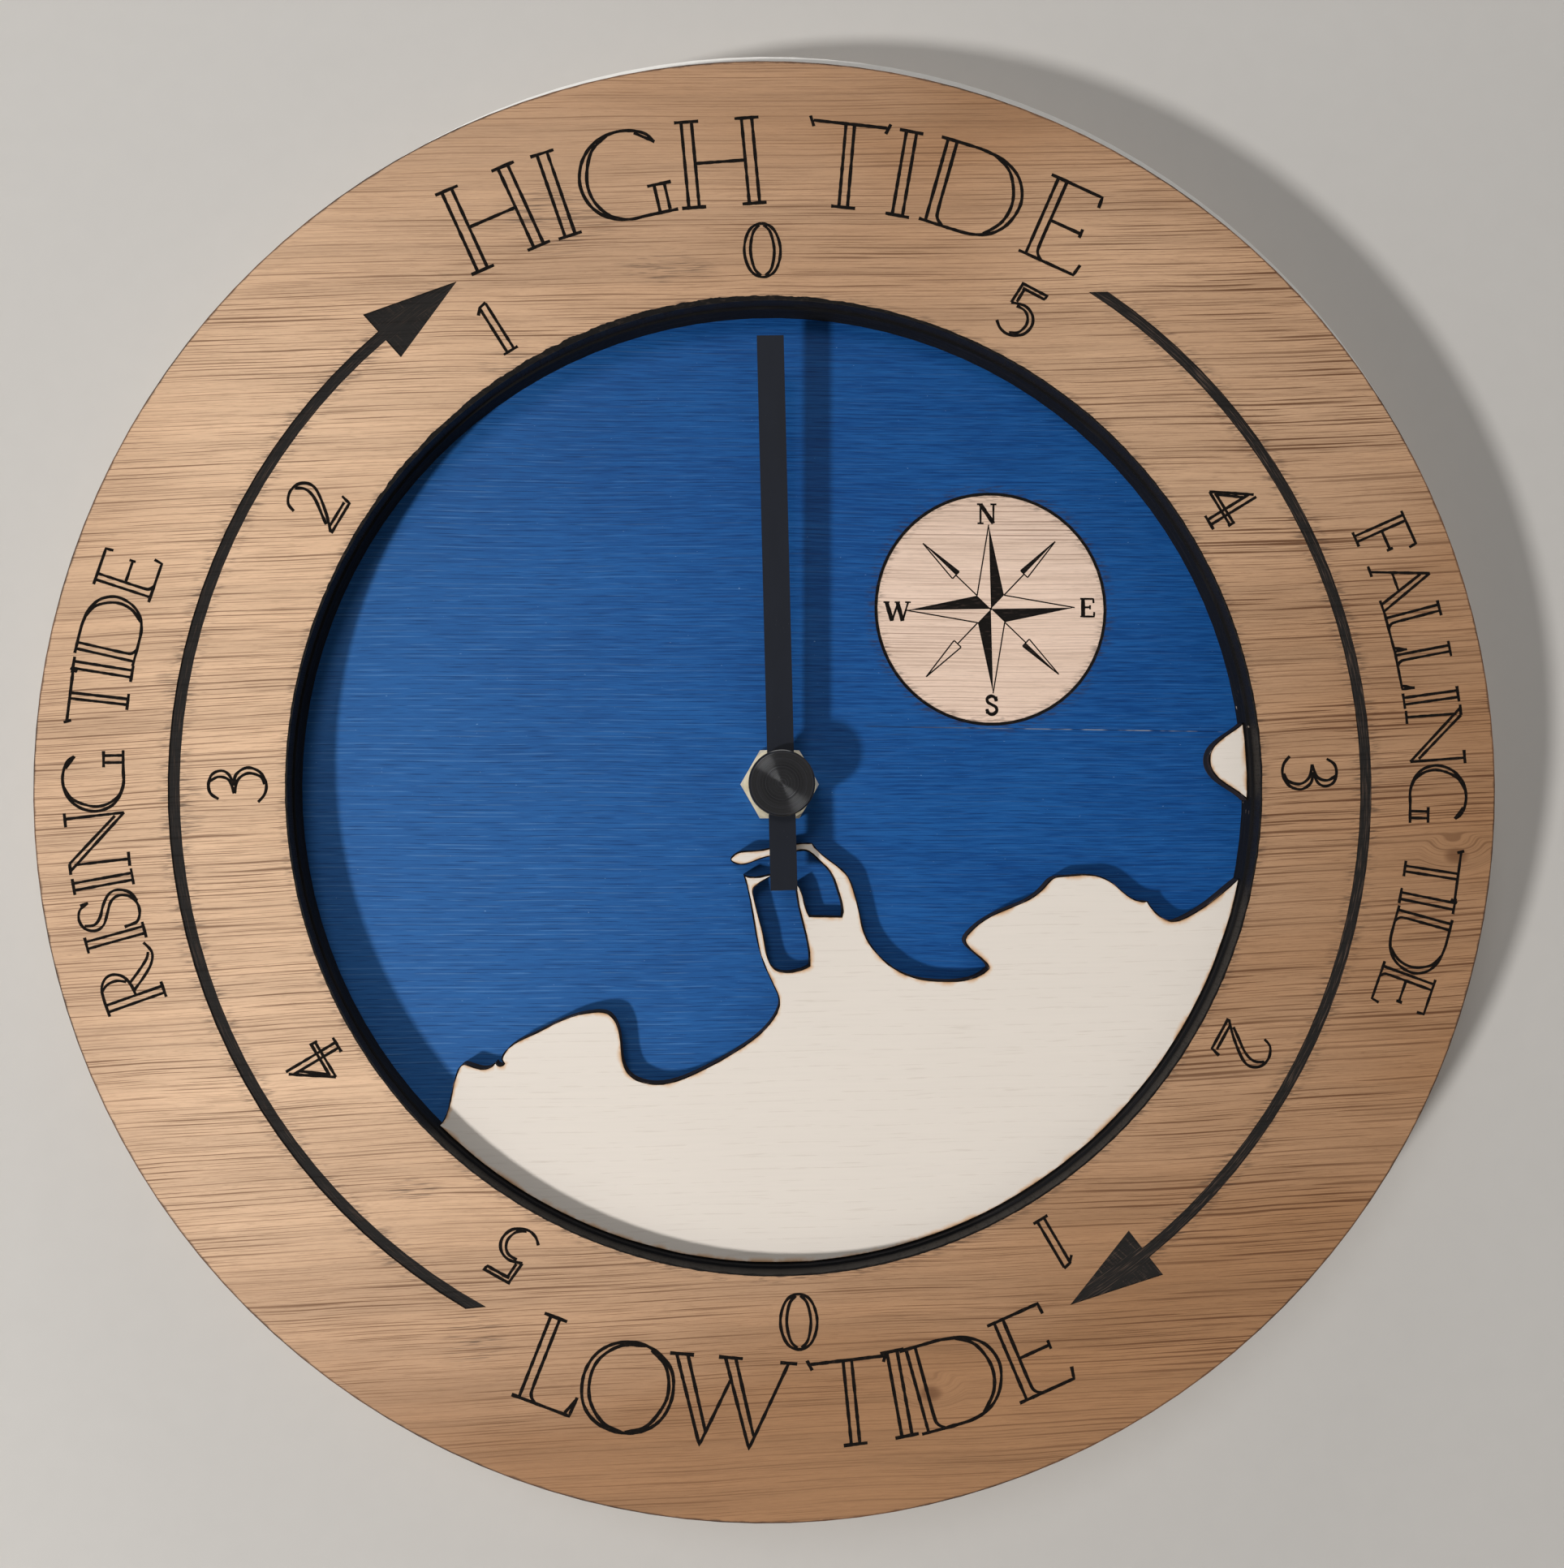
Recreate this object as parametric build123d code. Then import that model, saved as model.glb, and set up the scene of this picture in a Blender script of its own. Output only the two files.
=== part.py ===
from build123d import *
import math
import os

# Wall tide clock, sizes in millimetres.
# X is right and Z is up, seen from the front. The dial faces -Y.
# The origin is where the hand's axis meets the wall. "Depth" is the distance out from the wall.

# Shared clearances and overruns
overrun = 2.0
shaft_clearance = 0.05
glue_clearance = 0.2
seat_clearance = 0.3
press_clearance = 0.02

# Dial rings and boards
ring_radius = 150.0
ring_width = 50.0
front_ring_thickness = 4.0
spacer_thickness = 5.5
spacer_inset = 0.3
spacer_step = 0.5
spacer_shift_x = 1.0
spacer_shift_z = 3.3
sea_board_inset = 1.5
sea_board_thickness = 4.0
land_thickness = 4.0
engraving_depth = 0.3

# Burnt arc arrows on the front ring, angles in degrees clockwise from the top
arc_inset = 22.4
arc_width = 2.4
arrow_width = 11.6
arrow_angle = 8.9
left_arc_start = -150.6
left_arc_tip = -32.9
right_arc_start = 32.0
right_arc_tip = 151.0
arc_slant = 1.6

# Compass rose on the sea board
compass_place_share = (0.453, 0.376)
compass_radius = 25.0
compass_ring_width = 0.65
compass_line_width = 0.3
compass_point_length = 18.1
compass_valley = 2.9
compass_arrow_tip = 20.2
compass_arrow_base = 10.4
compass_arrow_half_width = 1.05
compass_turn = 1.3

# Hand, cap and nut
hand_lean = 1.5
hand_tip_gap = 8.3
hand_tail = 21.9
hand_width = 5.5
hand_thickness = 0.6
hand_rise = 2.6
hand_bend_start = 8.0
hand_eye_radius = 4.5
hand_height = 9.2
cap_radius = 6.8
cap_height = 3.0
cap_edge = 0.3
cap_groove_pitch = 0.6
cap_groove_width = 0.22
cap_groove_depth = 0.08
cap_groove_count = 9
nut_across_flats = 14.3
nut_thickness = 2.4
nut_chamfer = 0.7
washer_radius = 6.7
washer_thickness = 0.4
bushing_radius = 4.0
bushing_proud = 0.8
bushing_flange_radius = 5.5
bushing_flange_thickness = 0.6
bolt_clearance = 0.15

# Movement case
case_top = 28.0
case_corner = 3.0
case_wall = 1.4
front_cover_thickness = 2.0
front_cover_thin = 0.6
partition_gap = 0.88
partition_wall = 1.6
lip_height = 1.2
lip_thickness = 1.0
boss_radius = 1.6
boss_gap = 0.3
pivot_end_gap = 0.1
post_radius = 1.6
post_stub_radius = 0.8
knob_cup_wall = 1.0
knob_recess_depth = 2.2

# Hanger and gasket
hanger_thickness = 0.8
hanger_width = 20.0
hanger_foot = 8.0
hanger_gap = 0.4
hanger_corner = 4.0
hanger_above_keyhole = 12.0
keyhole_rise = 8.8
keyhole_radius = 4.0
keyhole_slot_width = 4.4
keyhole_slot_length = 7.0
gasket_thickness = 1.0
gasket_radius = 11.0

# Wheels: teeth, modules and the shares of one tooth's pitch
wheel_tooth_shares = (0.80, 1.25, 0.62, 0.45, 0.20)
pinion_tooth_shares = (0.80, 1.25, 0.52, 0.39, 0.20)
setting_wheel_teeth = 41
cannon_pinion_teeth = 11
tide_wheel_teeth = 30
setting_pinion_teeth = 9
centre_wheel_teeth = 64
train_wheel_teeth = 60
train_pinion_teeth = 8
fifth_pinion_teeth = 10
rotor_pinion_teeth = 12
setting_module = 0.4
centre_module = 0.25
third_module = 0.22
second_module = 0.2
fifth_module = 0.16
third_bearing = 155.0
second_bearing = 75.0
fifth_bearing = 20.0
rotor_bearing = 10.0
wheel_thickness = 0.6
train_arbor_radius = 0.5
train_arbor_start = 2.0
centre_arbor_radius = 0.8
centre_arbor_proud = 2.0
centre_wheel_depth = 6.0
centre_wheel_thickness = 0.8
centre_hub_radius = 1.5
centre_hub_back = 1.0
layer_gap = 0.2
third_wheel_gap = 1.0
cannon_pinion_gap = 0.6
setting_wheel_step = 0.5
second_wheel_step = 0.7
pinion_margin = 0.4
cannon_pinion_length = 1.8
cannon_pipe_radius = 1.5
cannon_pipe_inset = 1.4
setting_wheel_thickness = 0.8
setting_pinion_length = 1.4
setting_arbor_radius = 0.8
setting_stem_radius = 1.2
setting_stem_end = 5.0
setting_stem_start = 1.0
setting_pivot_floor = 0.8
setting_boss_radius = 1.8
tide_wheel_thickness = 0.8
tide_wheel_gap = 0.1
tide_wheel_front_gap = 0.3
tide_hub_radius = 3.4
tube_radius = 2.55
tube_proud = 0.6
collet_radius = 3.4
collet_flange_radius = 4.6
collet_flange_thickness = 0.6
collet_length = 2.8
knob_radius = 4.6
knob_gap = 0.6
knob_face = 0.3
knob_notch_radius = 0.5
knob_notch_count = 18

# Plate over the train, on posts of the back case
plate_thickness = 0.8
plate_left = -19.5
plate_right = 16.5
plate_bottom = -8.5
plate_top = 21.5
plate_corner = 2.0
plate_setting_hole_radius = 3.2
post_places = ((-17.0, -6.0), (-15.0, 19.0), (13.5, 12.5))

# Motor and electronics
magnet_radius = 3.0
magnet_thickness = 2.3
rotor_boss_radius = 1.2
stator_gap = 0.4
stator_thickness = 1.0
stator_hole_radius = 3.4
stator_eye_radius = 4.6
stator_post_radius = 1.2
stator_arm_outer_angle = -20.0
stator_arm_inner_angle = 50.0
core_width = 3.0
core_thickness = 1.0
core_side_gap = 4.1
core_top_gap = 1.6
core_length = 22.0
core_seat = 3.0
coil_gap = 0.2
bobbin_flange_radius = 3.6
bobbin_flange_thickness = 0.8
bobbin_barrel_radius = 2.2
winding_radius = 3.2
board_width = 9.0
board_height = 10.5
board_side_gap = 0.6
board_bottom_gap = 0.4
board_depth = 3.4
board_thickness = 0.8
board_pad_radius = 1.2
board_pad_inset = 1.6
crystal_radius = 1.0
crystal_length = 6.0
chip_radius = 2.4
chip_height = 0.9
chip_round = 0.5

# Battery and its contacts
battery_radius = 7.25
battery_can_length = 49.5
battery_nub_radius = 2.75
battery_nub_length = 1.0
battery_edge = 0.4
battery_shift = 0.25
battery_side_gap = 0.55
battery_front_gap = 0.3
contact_room = 1.35
contact_thickness = 0.3
contact_gap = 0.1
contact_height = 10.0
contact_width = 11.0
contact_dimple_radius = 2.0
contact_leaf_rise = 0.9
contact_strip_width = 1.2
contact_tab_width = 1.6
contact_notch_width = 0.8
contact_notch_height = 2.0

# Dial sizes that follow from the ring
opening_radius = ring_radius - ring_width
arc_radius = opening_radius + arc_inset
spacer_radius = ring_radius - spacer_inset
spacer_opening_radius = opening_radius - spacer_step
sea_board_radius = ring_radius - sea_board_inset
hand_length = opening_radius - hand_tip_gap

# Layers of the wheels, each from the one behind it
stator_depth = centre_wheel_depth - stator_gap - stator_thickness
magnet_start = stator_depth + (stator_thickness - magnet_thickness) / 2
boss_height = stator_depth - boss_gap
pivot_floor = train_arbor_start - pivot_end_gap
centre_hub_start = centre_wheel_depth - centre_hub_back
centre_hub_end = centre_wheel_depth + centre_wheel_thickness + layer_gap
fifth_wheel_depth = centre_hub_end
third_wheel_depth = centre_hub_end + third_wheel_gap
cannon_pinion_start = third_wheel_depth + wheel_thickness + cannon_pinion_gap
cannon_pinion_end = cannon_pinion_start + cannon_pinion_length
setting_wheel_depth = cannon_pinion_start + setting_wheel_step
second_wheel_depth = cannon_pinion_start + second_wheel_step
plate_depth = cannon_pinion_end + layer_gap
tide_hub_start = plate_depth + plate_thickness + tide_wheel_gap
tide_wheel_depth = tide_hub_start + layer_gap
setting_pinion_end = tide_hub_start + setting_pinion_length
setting_boss_start = setting_pinion_end + layer_gap
bushing_flange_start = tide_wheel_depth + tide_wheel_thickness + tide_wheel_front_gap
back_case_height = bushing_flange_start + bushing_flange_thickness

# Depths of the stack, from the wall out to the dial
case_depth = back_case_height + front_cover_thickness
hanger_depth = case_depth
gasket_depth = hanger_depth + hanger_thickness
sea_board_depth = gasket_depth + gasket_thickness
sea_face_depth = sea_board_depth + sea_board_thickness
front_ring_depth = sea_face_depth + spacer_thickness
dial_face_depth = front_ring_depth + front_ring_thickness
nut_depth = sea_face_depth + washer_thickness
bushing_end = nut_depth + nut_thickness + bushing_proud
hand_depth = sea_face_depth + hand_height
tube_end = hand_depth + hand_thickness + tube_proud
cannon_pipe_end = bushing_end - cannon_pipe_inset
centre_arbor_end = cannon_pipe_end + centre_arbor_proud
setting_arbor_end = case_depth - setting_pivot_floor - layer_gap

# Wheel centres, each a mesh distance from the one before
setting_distance = setting_module * (setting_wheel_teeth + cannon_pinion_teeth) / 2
tide_module = 2 * setting_distance / (tide_wheel_teeth + setting_pinion_teeth)
setting_wheel_tip = setting_module * (setting_wheel_teeth / 2 + wheel_tooth_shares[0])
setting_place = (setting_distance, 0.0)

# Case round the wheels above and the battery below
partition_top = -setting_wheel_tip - partition_gap
bay_top = partition_top - partition_wall
bay_bottom = bay_top - 2 * (battery_radius + battery_side_gap)
case_bottom = bay_bottom - case_wall
case_side = (battery_can_length + battery_nub_length) / 2 + contact_room + case_wall
inner_side = case_side - case_wall
inner_top = case_top - case_wall
battery_z = (bay_top + bay_bottom) / 2
battery_depth = case_depth - front_cover_thin - battery_front_gap - battery_radius
knob_recess_radius = knob_radius + knob_gap
knob_cup_radius = knob_recess_radius + knob_cup_wall
knob_cup_depth = knob_recess_depth + case_wall
knob_back = knob_recess_depth - layer_gap
shelf_bottom = case_top + hanger_gap
shelf_top = shelf_bottom + hanger_thickness
keyhole_height = shelf_top + keyhole_rise
hanger_top = keyhole_height + hanger_above_keyhole

# Coil and circuit board, each from the case wall beside it
coil_x = inner_side - core_side_gap - core_width / 2
core_top = inner_top - core_top_gap
core_bottom = core_top - core_length
board_right = inner_side - board_side_gap
board_left = board_right - board_width
board_bottom = partition_top + board_bottom_gap
board_top = board_bottom + board_height


def mesh_place(start, module, wheel_teeth, pinion_teeth, bearing):
    """Centre of a wheel that meshes with the one at start, in the given direction."""
    distance = module * (wheel_teeth + pinion_teeth) / 2
    angle = math.radians(bearing)
    return (start[0] + distance * math.cos(angle), start[1] + distance * math.sin(angle))


third_place = mesh_place((0.0, 0.0), centre_module, centre_wheel_teeth, train_pinion_teeth, third_bearing)
second_place = mesh_place(third_place, third_module, train_wheel_teeth, train_pinion_teeth, second_bearing)
fifth_place = mesh_place(second_place, second_module, train_wheel_teeth, fifth_pinion_teeth, fifth_bearing)
rotor_place = mesh_place(fifth_place, fifth_module, train_wheel_teeth, rotor_pinion_teeth, rotor_bearing)


# Building helpers
def slab(sketch, depth, thickness):
    """Extrude a sketch, drawn in X and Z, outwards from a depth."""
    return extrude(Plane.XZ.offset(depth) * sketch, amount=thickness)


def disc(radius, start, end, place=(0.0, 0.0)):
    """Round bar along the clock's depth."""
    return slab(Pos(place[0], place[1]) * Circle(radius), start, end - start)


def block(left, right, start, end, bottom, top):
    """Box between two X, two depths and two Z."""
    outline = Pos((left + right) / 2, (bottom + top) / 2) * Rectangle(right - left, top - bottom)
    return slab(outline, start, end - start)


def compass_point(radius, degrees):
    """Point at an angle clockwise from the top."""
    angle = math.radians(degrees)
    return (radius * math.sin(angle), radius * math.cos(angle))


def polygon(points):
    """Face inside straight edges."""
    return make_face(Polyline(*points, close=True))


def strip(start, end, width):
    """Thin straight line of a given width."""
    run = (end[0] - start[0], end[1] - start[1])
    length = math.hypot(run[0], run[1])
    middle = Pos((start[0] + end[0]) / 2, (start[1] + end[1]) / 2)
    turn = Rot(0, 0, math.degrees(math.atan2(run[1], run[0])))
    return middle * turn * Rectangle(length, width)


# Dial: front ring, spacer ring and sea board
def arc_band(start, end, tip):
    """Band of the arc arrow from start to end, slanted where it starts."""
    inner = arc_radius - arc_width / 2
    outer = arc_radius + arc_width / 2
    slant = arc_slant if tip > start else -arc_slant
    middle = (start + end) / 2
    inner_start = compass_point(inner, start)
    inner_end = compass_point(inner, end)
    outer_start = compass_point(outer, start + slant)
    outer_end = compass_point(outer, end)
    edges = [
        ThreePointArc(inner_start, compass_point(inner, middle), inner_end),
        Line(inner_end, outer_end),
        ThreePointArc(outer_end, compass_point(outer, middle), outer_start),
        Line(outer_start, inner_start),
    ]
    return make_face(edges)


def arc_arrow(start, tip):
    """Arc arrow: a curved band that ends in a broad head."""
    base = tip - arrow_angle
    head = polygon([
        compass_point(arc_radius - arrow_width / 2, base),
        compass_point(arc_radius + arrow_width / 2, base),
        compass_point(arc_radius, tip),
    ])
    return arc_band(start, base, tip) + head


def make_front_ring():
    ring = disc(ring_radius, front_ring_depth, dial_face_depth)
    ring -= disc(opening_radius, front_ring_depth - overrun, dial_face_depth + overrun)
    floor = dial_face_depth - engraving_depth
    for start, tip in ((left_arc_start, left_arc_tip), (right_arc_start, right_arc_tip)):
        ring -= slab(arc_arrow(start, tip), floor, engraving_depth + overrun)
    return ring


def make_spacer_ring():
    outside = disc(spacer_radius, sea_face_depth, front_ring_depth, (spacer_shift_x, spacer_shift_z))
    return outside - disc(spacer_opening_radius, sea_face_depth - overrun, front_ring_depth + overrun)


def compass_star():
    """Eight-pointed rose: half of each point is sunk, the other half only outlined."""
    lines = []
    valleys = {}
    for quarter in range(4):
        valleys[quarter] = compass_point(compass_valley * math.sqrt(2), 45 + 90 * quarter)
    for quarter in range(4):
        tip = compass_point(compass_point_length, 90 * quarter)
        lines.append(polygon([(0.0, 0.0), tip, valleys[quarter]]))
        lines.append(strip(tip, valleys[(quarter + 3) % 4], compass_line_width))
        lines.append(diagonal_arrow(45 + 90 * quarter, valleys[quarter], quarter))
    star = Circle(compass_line_width)
    for line in lines:
        star += line
    return star


def diagonal_arrow(degrees, valley, quarter):
    """Slim arrow between two main points, on a thin line from the valley."""
    tip = compass_point(compass_arrow_tip, degrees)
    base = compass_point(compass_arrow_base, degrees)
    across = compass_point(compass_arrow_half_width, degrees + 90)
    right = (base[0] + across[0], base[1] + across[1])
    left = (base[0] - across[0], base[1] - across[1])
    sunk = right if quarter == 1 or quarter == 3 else left
    arrow = strip(valley, base, compass_line_width)
    for start, end in ((tip, left), (tip, right), (left, right)):
        arrow += strip(start, end, compass_line_width)
    if quarter != 2:
        arrow += polygon([base, tip, sunk])
    return arrow


def make_sea_board():
    board = disc(sea_board_radius, sea_board_depth, sea_face_depth)
    board -= disc(bushing_radius + bolt_clearance, sea_board_depth - overrun, sea_face_depth + overrun)
    floor = sea_face_depth - engraving_depth
    ring = Circle(compass_radius) - Circle(compass_radius - compass_ring_width)
    rose = Rot(0, 0, compass_turn) * compass_star()
    for engraving in (ring, rose):
        board -= slab(Pos(*opening_point(compass_place_share)) * engraving, floor, engraving_depth + overrun)
    return board


# Coast, as shares of the dial opening's radius. Each list is one smooth stretch between corners.
coast_start_degrees = 225.1
coast_end_degrees = -11.6
coast_stretch_shares = (
    ((-0.680, -0.655), (-0.667, -0.598), (-0.654, -0.578), (-0.635, -0.582), (-0.616, -0.587),
     (-0.587, -0.574)),
    ((-0.580, -0.581), (-0.569, -0.577)),
    ((-0.574, -0.568), (-0.568, -0.553), (-0.511, -0.517), (-0.458, -0.491), (-0.391, -0.472),
     (-0.353, -0.477), (-0.338, -0.497), (-0.328, -0.552), (-0.313, -0.600), (-0.281, -0.618),
     (-0.160, -0.592), (-0.069, -0.540), (-0.012, -0.484), (-0.002, -0.455), (-0.012, -0.423),
     (-0.038, -0.364), (-0.056, -0.280), (-0.076, -0.189)),
    ((-0.060, -0.194), (-0.042, -0.193), (-0.010, -0.187)),
    ((-0.030, -0.199), (-0.045, -0.208), (-0.056, -0.219), (-0.055, -0.233), (-0.045, -0.274),
     (-0.033, -0.320), (-0.025, -0.362), (-0.012, -0.384), (0.030, -0.390), (0.061, -0.379)),
    ((0.061, -0.355), (0.048, -0.292), (0.037, -0.243), (0.033, -0.206)),
    ((0.044, -0.222), (0.052, -0.250), (0.061, -0.275)),
    ((0.130, -0.277),),
    ((0.130, -0.255), (0.121, -0.223), (0.107, -0.187), (0.080, -0.158), (0.056, -0.140),
     (0.020, -0.144), (-0.040, -0.156), (-0.095, -0.165), (-0.103, -0.158), (-0.098, -0.149),
     (-0.055, -0.139), (0.000, -0.129), (0.035, -0.124), (0.067, -0.123)),
    ((0.110, -0.163), (0.144, -0.195), (0.154, -0.220), (0.166, -0.265), (0.178, -0.314), (0.205, -0.355),
     (0.245, -0.388), (0.290, -0.406), (0.350, -0.412), (0.410, -0.404), (0.438, -0.386)),
    ((0.402, -0.349), (0.388, -0.327), (0.399, -0.309), (0.470, -0.264), (0.540, -0.231),
     (0.558, -0.214), (0.574, -0.198), (0.605, -0.192), (0.664, -0.191), (0.700, -0.206),
     (0.737, -0.236), (0.776, -0.246)),
    ((0.792, -0.268), (0.827, -0.288), (0.865, -0.277), (0.916, -0.245)),
)
islet_start_degrees = 7.6
islet_end_degrees = -1.9
islet_shares = ((0.938, 0.098), (0.915, 0.072), (0.911, 0.046), (0.923, 0.020), (0.954, -0.005))


def opening_point(share):
    """Point given as shares of the dial opening's radius."""
    return (share[0] * opening_radius, share[1] * opening_radius)


def rim_point(degrees):
    """Point on the rim that the glued cut-outs keep clear of the spacer ring."""
    radius = spacer_opening_radius - glue_clearance
    return (radius * math.cos(math.radians(degrees)), radius * math.sin(math.radians(degrees)))


def stretch(points):
    """Smooth curve through points, or a straight edge between two."""
    return Line(*points) if len(points) == 2 else Spline(*points)


def make_land_piece():
    last = rim_point(coast_start_degrees)
    finish = rim_point(coast_end_degrees)
    edges = []
    for index, shares in enumerate(coast_stretch_shares):
        points = [last] + [opening_point(share) for share in shares]
        if index == len(coast_stretch_shares) - 1:
            points.append(finish)
        edges.append(stretch(points))
        last = points[-1]
    bottom = rim_point((coast_start_degrees + coast_end_degrees) / 2 + 180)
    edges.append(ThreePointArc(finish, bottom, rim_point(coast_start_degrees)))
    return slab(make_face(edges), sea_face_depth, land_thickness)


def make_islet_piece():
    start = rim_point(islet_start_degrees)
    finish = rim_point(islet_end_degrees)
    shore = Spline(start, *[opening_point(share) for share in islet_shares], finish)
    rim = ThreePointArc(finish, rim_point((islet_start_degrees + islet_end_degrees) / 2), start)
    return slab(make_face([shore, rim]), sea_face_depth, land_thickness)


# What holds the movement to the board, and what turns in front of it
def make_hex_nut():
    corner_radius = nut_across_flats / math.sqrt(3)
    end = nut_depth + nut_thickness
    hexagon = slab(RegularPolygon(corner_radius, 6), nut_depth, nut_thickness)
    rounding = disc(corner_radius, nut_depth - overrun, end)
    rounding = chamfer(rounding.edges().sort_by(Axis.Y)[0], nut_chamfer)
    return (hexagon & rounding) - disc(bushing_radius + shaft_clearance, nut_depth - overrun, end + overrun)


def make_bushing_washer():
    ring = disc(washer_radius, sea_face_depth, nut_depth)
    return ring - disc(bushing_radius + bolt_clearance, sea_face_depth - overrun, nut_depth + overrun)


def make_rubber_gasket():
    ring = disc(gasket_radius, gasket_depth, sea_board_depth)
    return ring - disc(bushing_radius + bolt_clearance, gasket_depth - overrun, sea_board_depth + overrun)


def make_threaded_bushing():
    bushing = disc(bushing_flange_radius, bushing_flange_start, back_case_height)
    bushing += disc(bushing_radius, back_case_height, bushing_end)
    bore = disc(tube_radius + shaft_clearance, bushing_flange_start - overrun, bushing_end + overrun)
    return bushing - bore


def make_tide_wheel():
    end = tide_wheel_depth + tide_wheel_thickness
    outline = gear(tide_wheel_teeth, tide_module, wheel_tooth_shares, wheel_phase(0.0))
    wheel = slab(outline, tide_wheel_depth, tide_wheel_thickness)
    wheel += disc(tide_hub_radius, tide_hub_start, end)
    wheel += disc(tube_radius, end, tube_end)
    return wheel - disc(cannon_pipe_radius + shaft_clearance, tide_hub_start - overrun, tube_end + overrun)


def make_hand_collet():
    start = hand_depth - collet_length
    collet = disc(collet_radius, start, hand_depth)
    collet += disc(collet_flange_radius, hand_depth - collet_flange_thickness, hand_depth)
    return collet - disc(tube_radius + press_clearance, start - overrun, hand_depth + overrun)


def make_tide_hand():
    """Flat bar that is level at its eye and bends gently away from the board."""
    back = hand_depth
    front = hand_depth + hand_thickness
    profile = [
        (-back, -hand_tail),
        (-back, hand_bend_start),
        (-back - hand_rise, hand_length),
        (-front - hand_rise, hand_length),
        (-front, hand_bend_start),
        (-front, -hand_tail),
    ]
    side = Plane.YZ.offset(-hand_width / 2) * polygon(profile)
    hand = extrude(side, amount=hand_width)
    hand += disc(hand_eye_radius, back, front)
    hand -= disc(tube_radius + press_clearance, back - overrun, front + overrun)
    return Rot(0, -hand_lean, 0) * hand


def make_hand_cap():
    start = hand_depth + hand_thickness
    end = start + cap_height
    cap = disc(cap_radius, start, end)
    cap = chamfer(cap.edges().sort_by(Axis.Y)[0], cap_edge)
    for number in range(1, cap_groove_count + 1):
        radius = number * cap_groove_pitch
        floor = end - cap_groove_depth
        groove = disc(radius + cap_groove_width / 2, floor, end + overrun)
        groove -= disc(radius - cap_groove_width / 2, floor - overrun, end + overrun + overrun)
        cap -= groove
    socket_end = start + tube_proud + seat_clearance
    return cap - disc(tube_radius + press_clearance, start - overrun, socket_end)


# Wheels of the movement
def gear(teeth, module, tooth_shares, phase):
    """Toothed outline. Phase is the direction, in radians, of one tooth's middle."""
    tip_share, root_share, root_width_share, pitch_width_share, tip_width_share = tooth_shares
    pitch_radius = module * teeth / 2
    step = 2 * math.pi / teeth
    flank = (
        (pitch_radius - root_share * module, root_width_share),
        (pitch_radius, pitch_width_share),
        (pitch_radius + tip_share * module, tip_width_share),
    )
    points = []
    for tooth in range(teeth):
        middle = phase + tooth * step
        for radius, width_share in flank:
            angle = middle - width_share * step / 2
            points.append((radius * math.cos(angle), radius * math.sin(angle)))
        for radius, width_share in reversed(flank):
            angle = middle + width_share * step / 2
            points.append((radius * math.cos(angle), radius * math.sin(angle)))
    return polygon(points)


def wheel_phase(bearing):
    """A tooth points along the bearing, at the pinion."""
    return math.radians(bearing)


def pinion_phase(bearing, teeth):
    """A gap points back along the bearing, at the wheel."""
    return math.radians(bearing) + math.pi + math.pi / teeth


def train_wheel(place, wheel, pinion):
    """Wheel and pinion on one thin arbor. Each is (teeth, module, shares, phase, start, end)."""
    body = disc(train_arbor_radius, train_arbor_start, plate_depth + plate_thickness, place)
    for teeth, module, shares, phase, start, end in (wheel, pinion):
        outline = Pos(place[0], place[1]) * gear(teeth, module, shares, phase)
        body += slab(outline, start, end - start)
    return body


def pinion_span(wheel_start):
    """Depths of a pinion that is a little longer than the wheel it meshes with."""
    return (wheel_start - pinion_margin, wheel_start + wheel_thickness + pinion_margin)


def make_centre_wheel():
    end = centre_wheel_depth + centre_wheel_thickness
    outline = gear(centre_wheel_teeth, centre_module, wheel_tooth_shares, wheel_phase(third_bearing))
    wheel = slab(outline, centre_wheel_depth, end - centre_wheel_depth)
    wheel += disc(centre_hub_radius, centre_hub_start, centre_hub_end)
    bore = disc(centre_arbor_radius + press_clearance, centre_hub_start - overrun, centre_hub_end + overrun)
    return wheel - bore


def make_centre_arbor():
    return disc(centre_arbor_radius, train_arbor_start, centre_arbor_end)


def make_cannon_pinion():
    phase = pinion_phase(180.0, cannon_pinion_teeth)
    pinion = disc(cannon_pipe_radius, centre_hub_end, cannon_pipe_end)
    outline = gear(cannon_pinion_teeth, setting_module, pinion_tooth_shares, phase)
    pinion += slab(outline, cannon_pinion_start, cannon_pinion_end - cannon_pinion_start)
    bore = disc(centre_arbor_radius + shaft_clearance, centre_hub_end - overrun, cannon_pipe_end + overrun)
    return pinion - bore


def make_third_wheel():
    start = centre_wheel_depth - pinion_margin
    end = centre_wheel_depth + centre_wheel_thickness + pinion_margin
    pinion = (train_pinion_teeth, centre_module, pinion_tooth_shares,
              pinion_phase(third_bearing, train_pinion_teeth), start, end)
    wheel = (train_wheel_teeth, third_module, wheel_tooth_shares, wheel_phase(second_bearing),
             third_wheel_depth, third_wheel_depth + wheel_thickness)
    return train_wheel(third_place, wheel, pinion)


def make_second_wheel():
    start, end = pinion_span(third_wheel_depth)
    pinion = (train_pinion_teeth, third_module, pinion_tooth_shares,
              pinion_phase(second_bearing, train_pinion_teeth), start, end)
    wheel = (train_wheel_teeth, second_module, wheel_tooth_shares, wheel_phase(fifth_bearing),
             second_wheel_depth, second_wheel_depth + wheel_thickness)
    return train_wheel(second_place, wheel, pinion)


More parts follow.
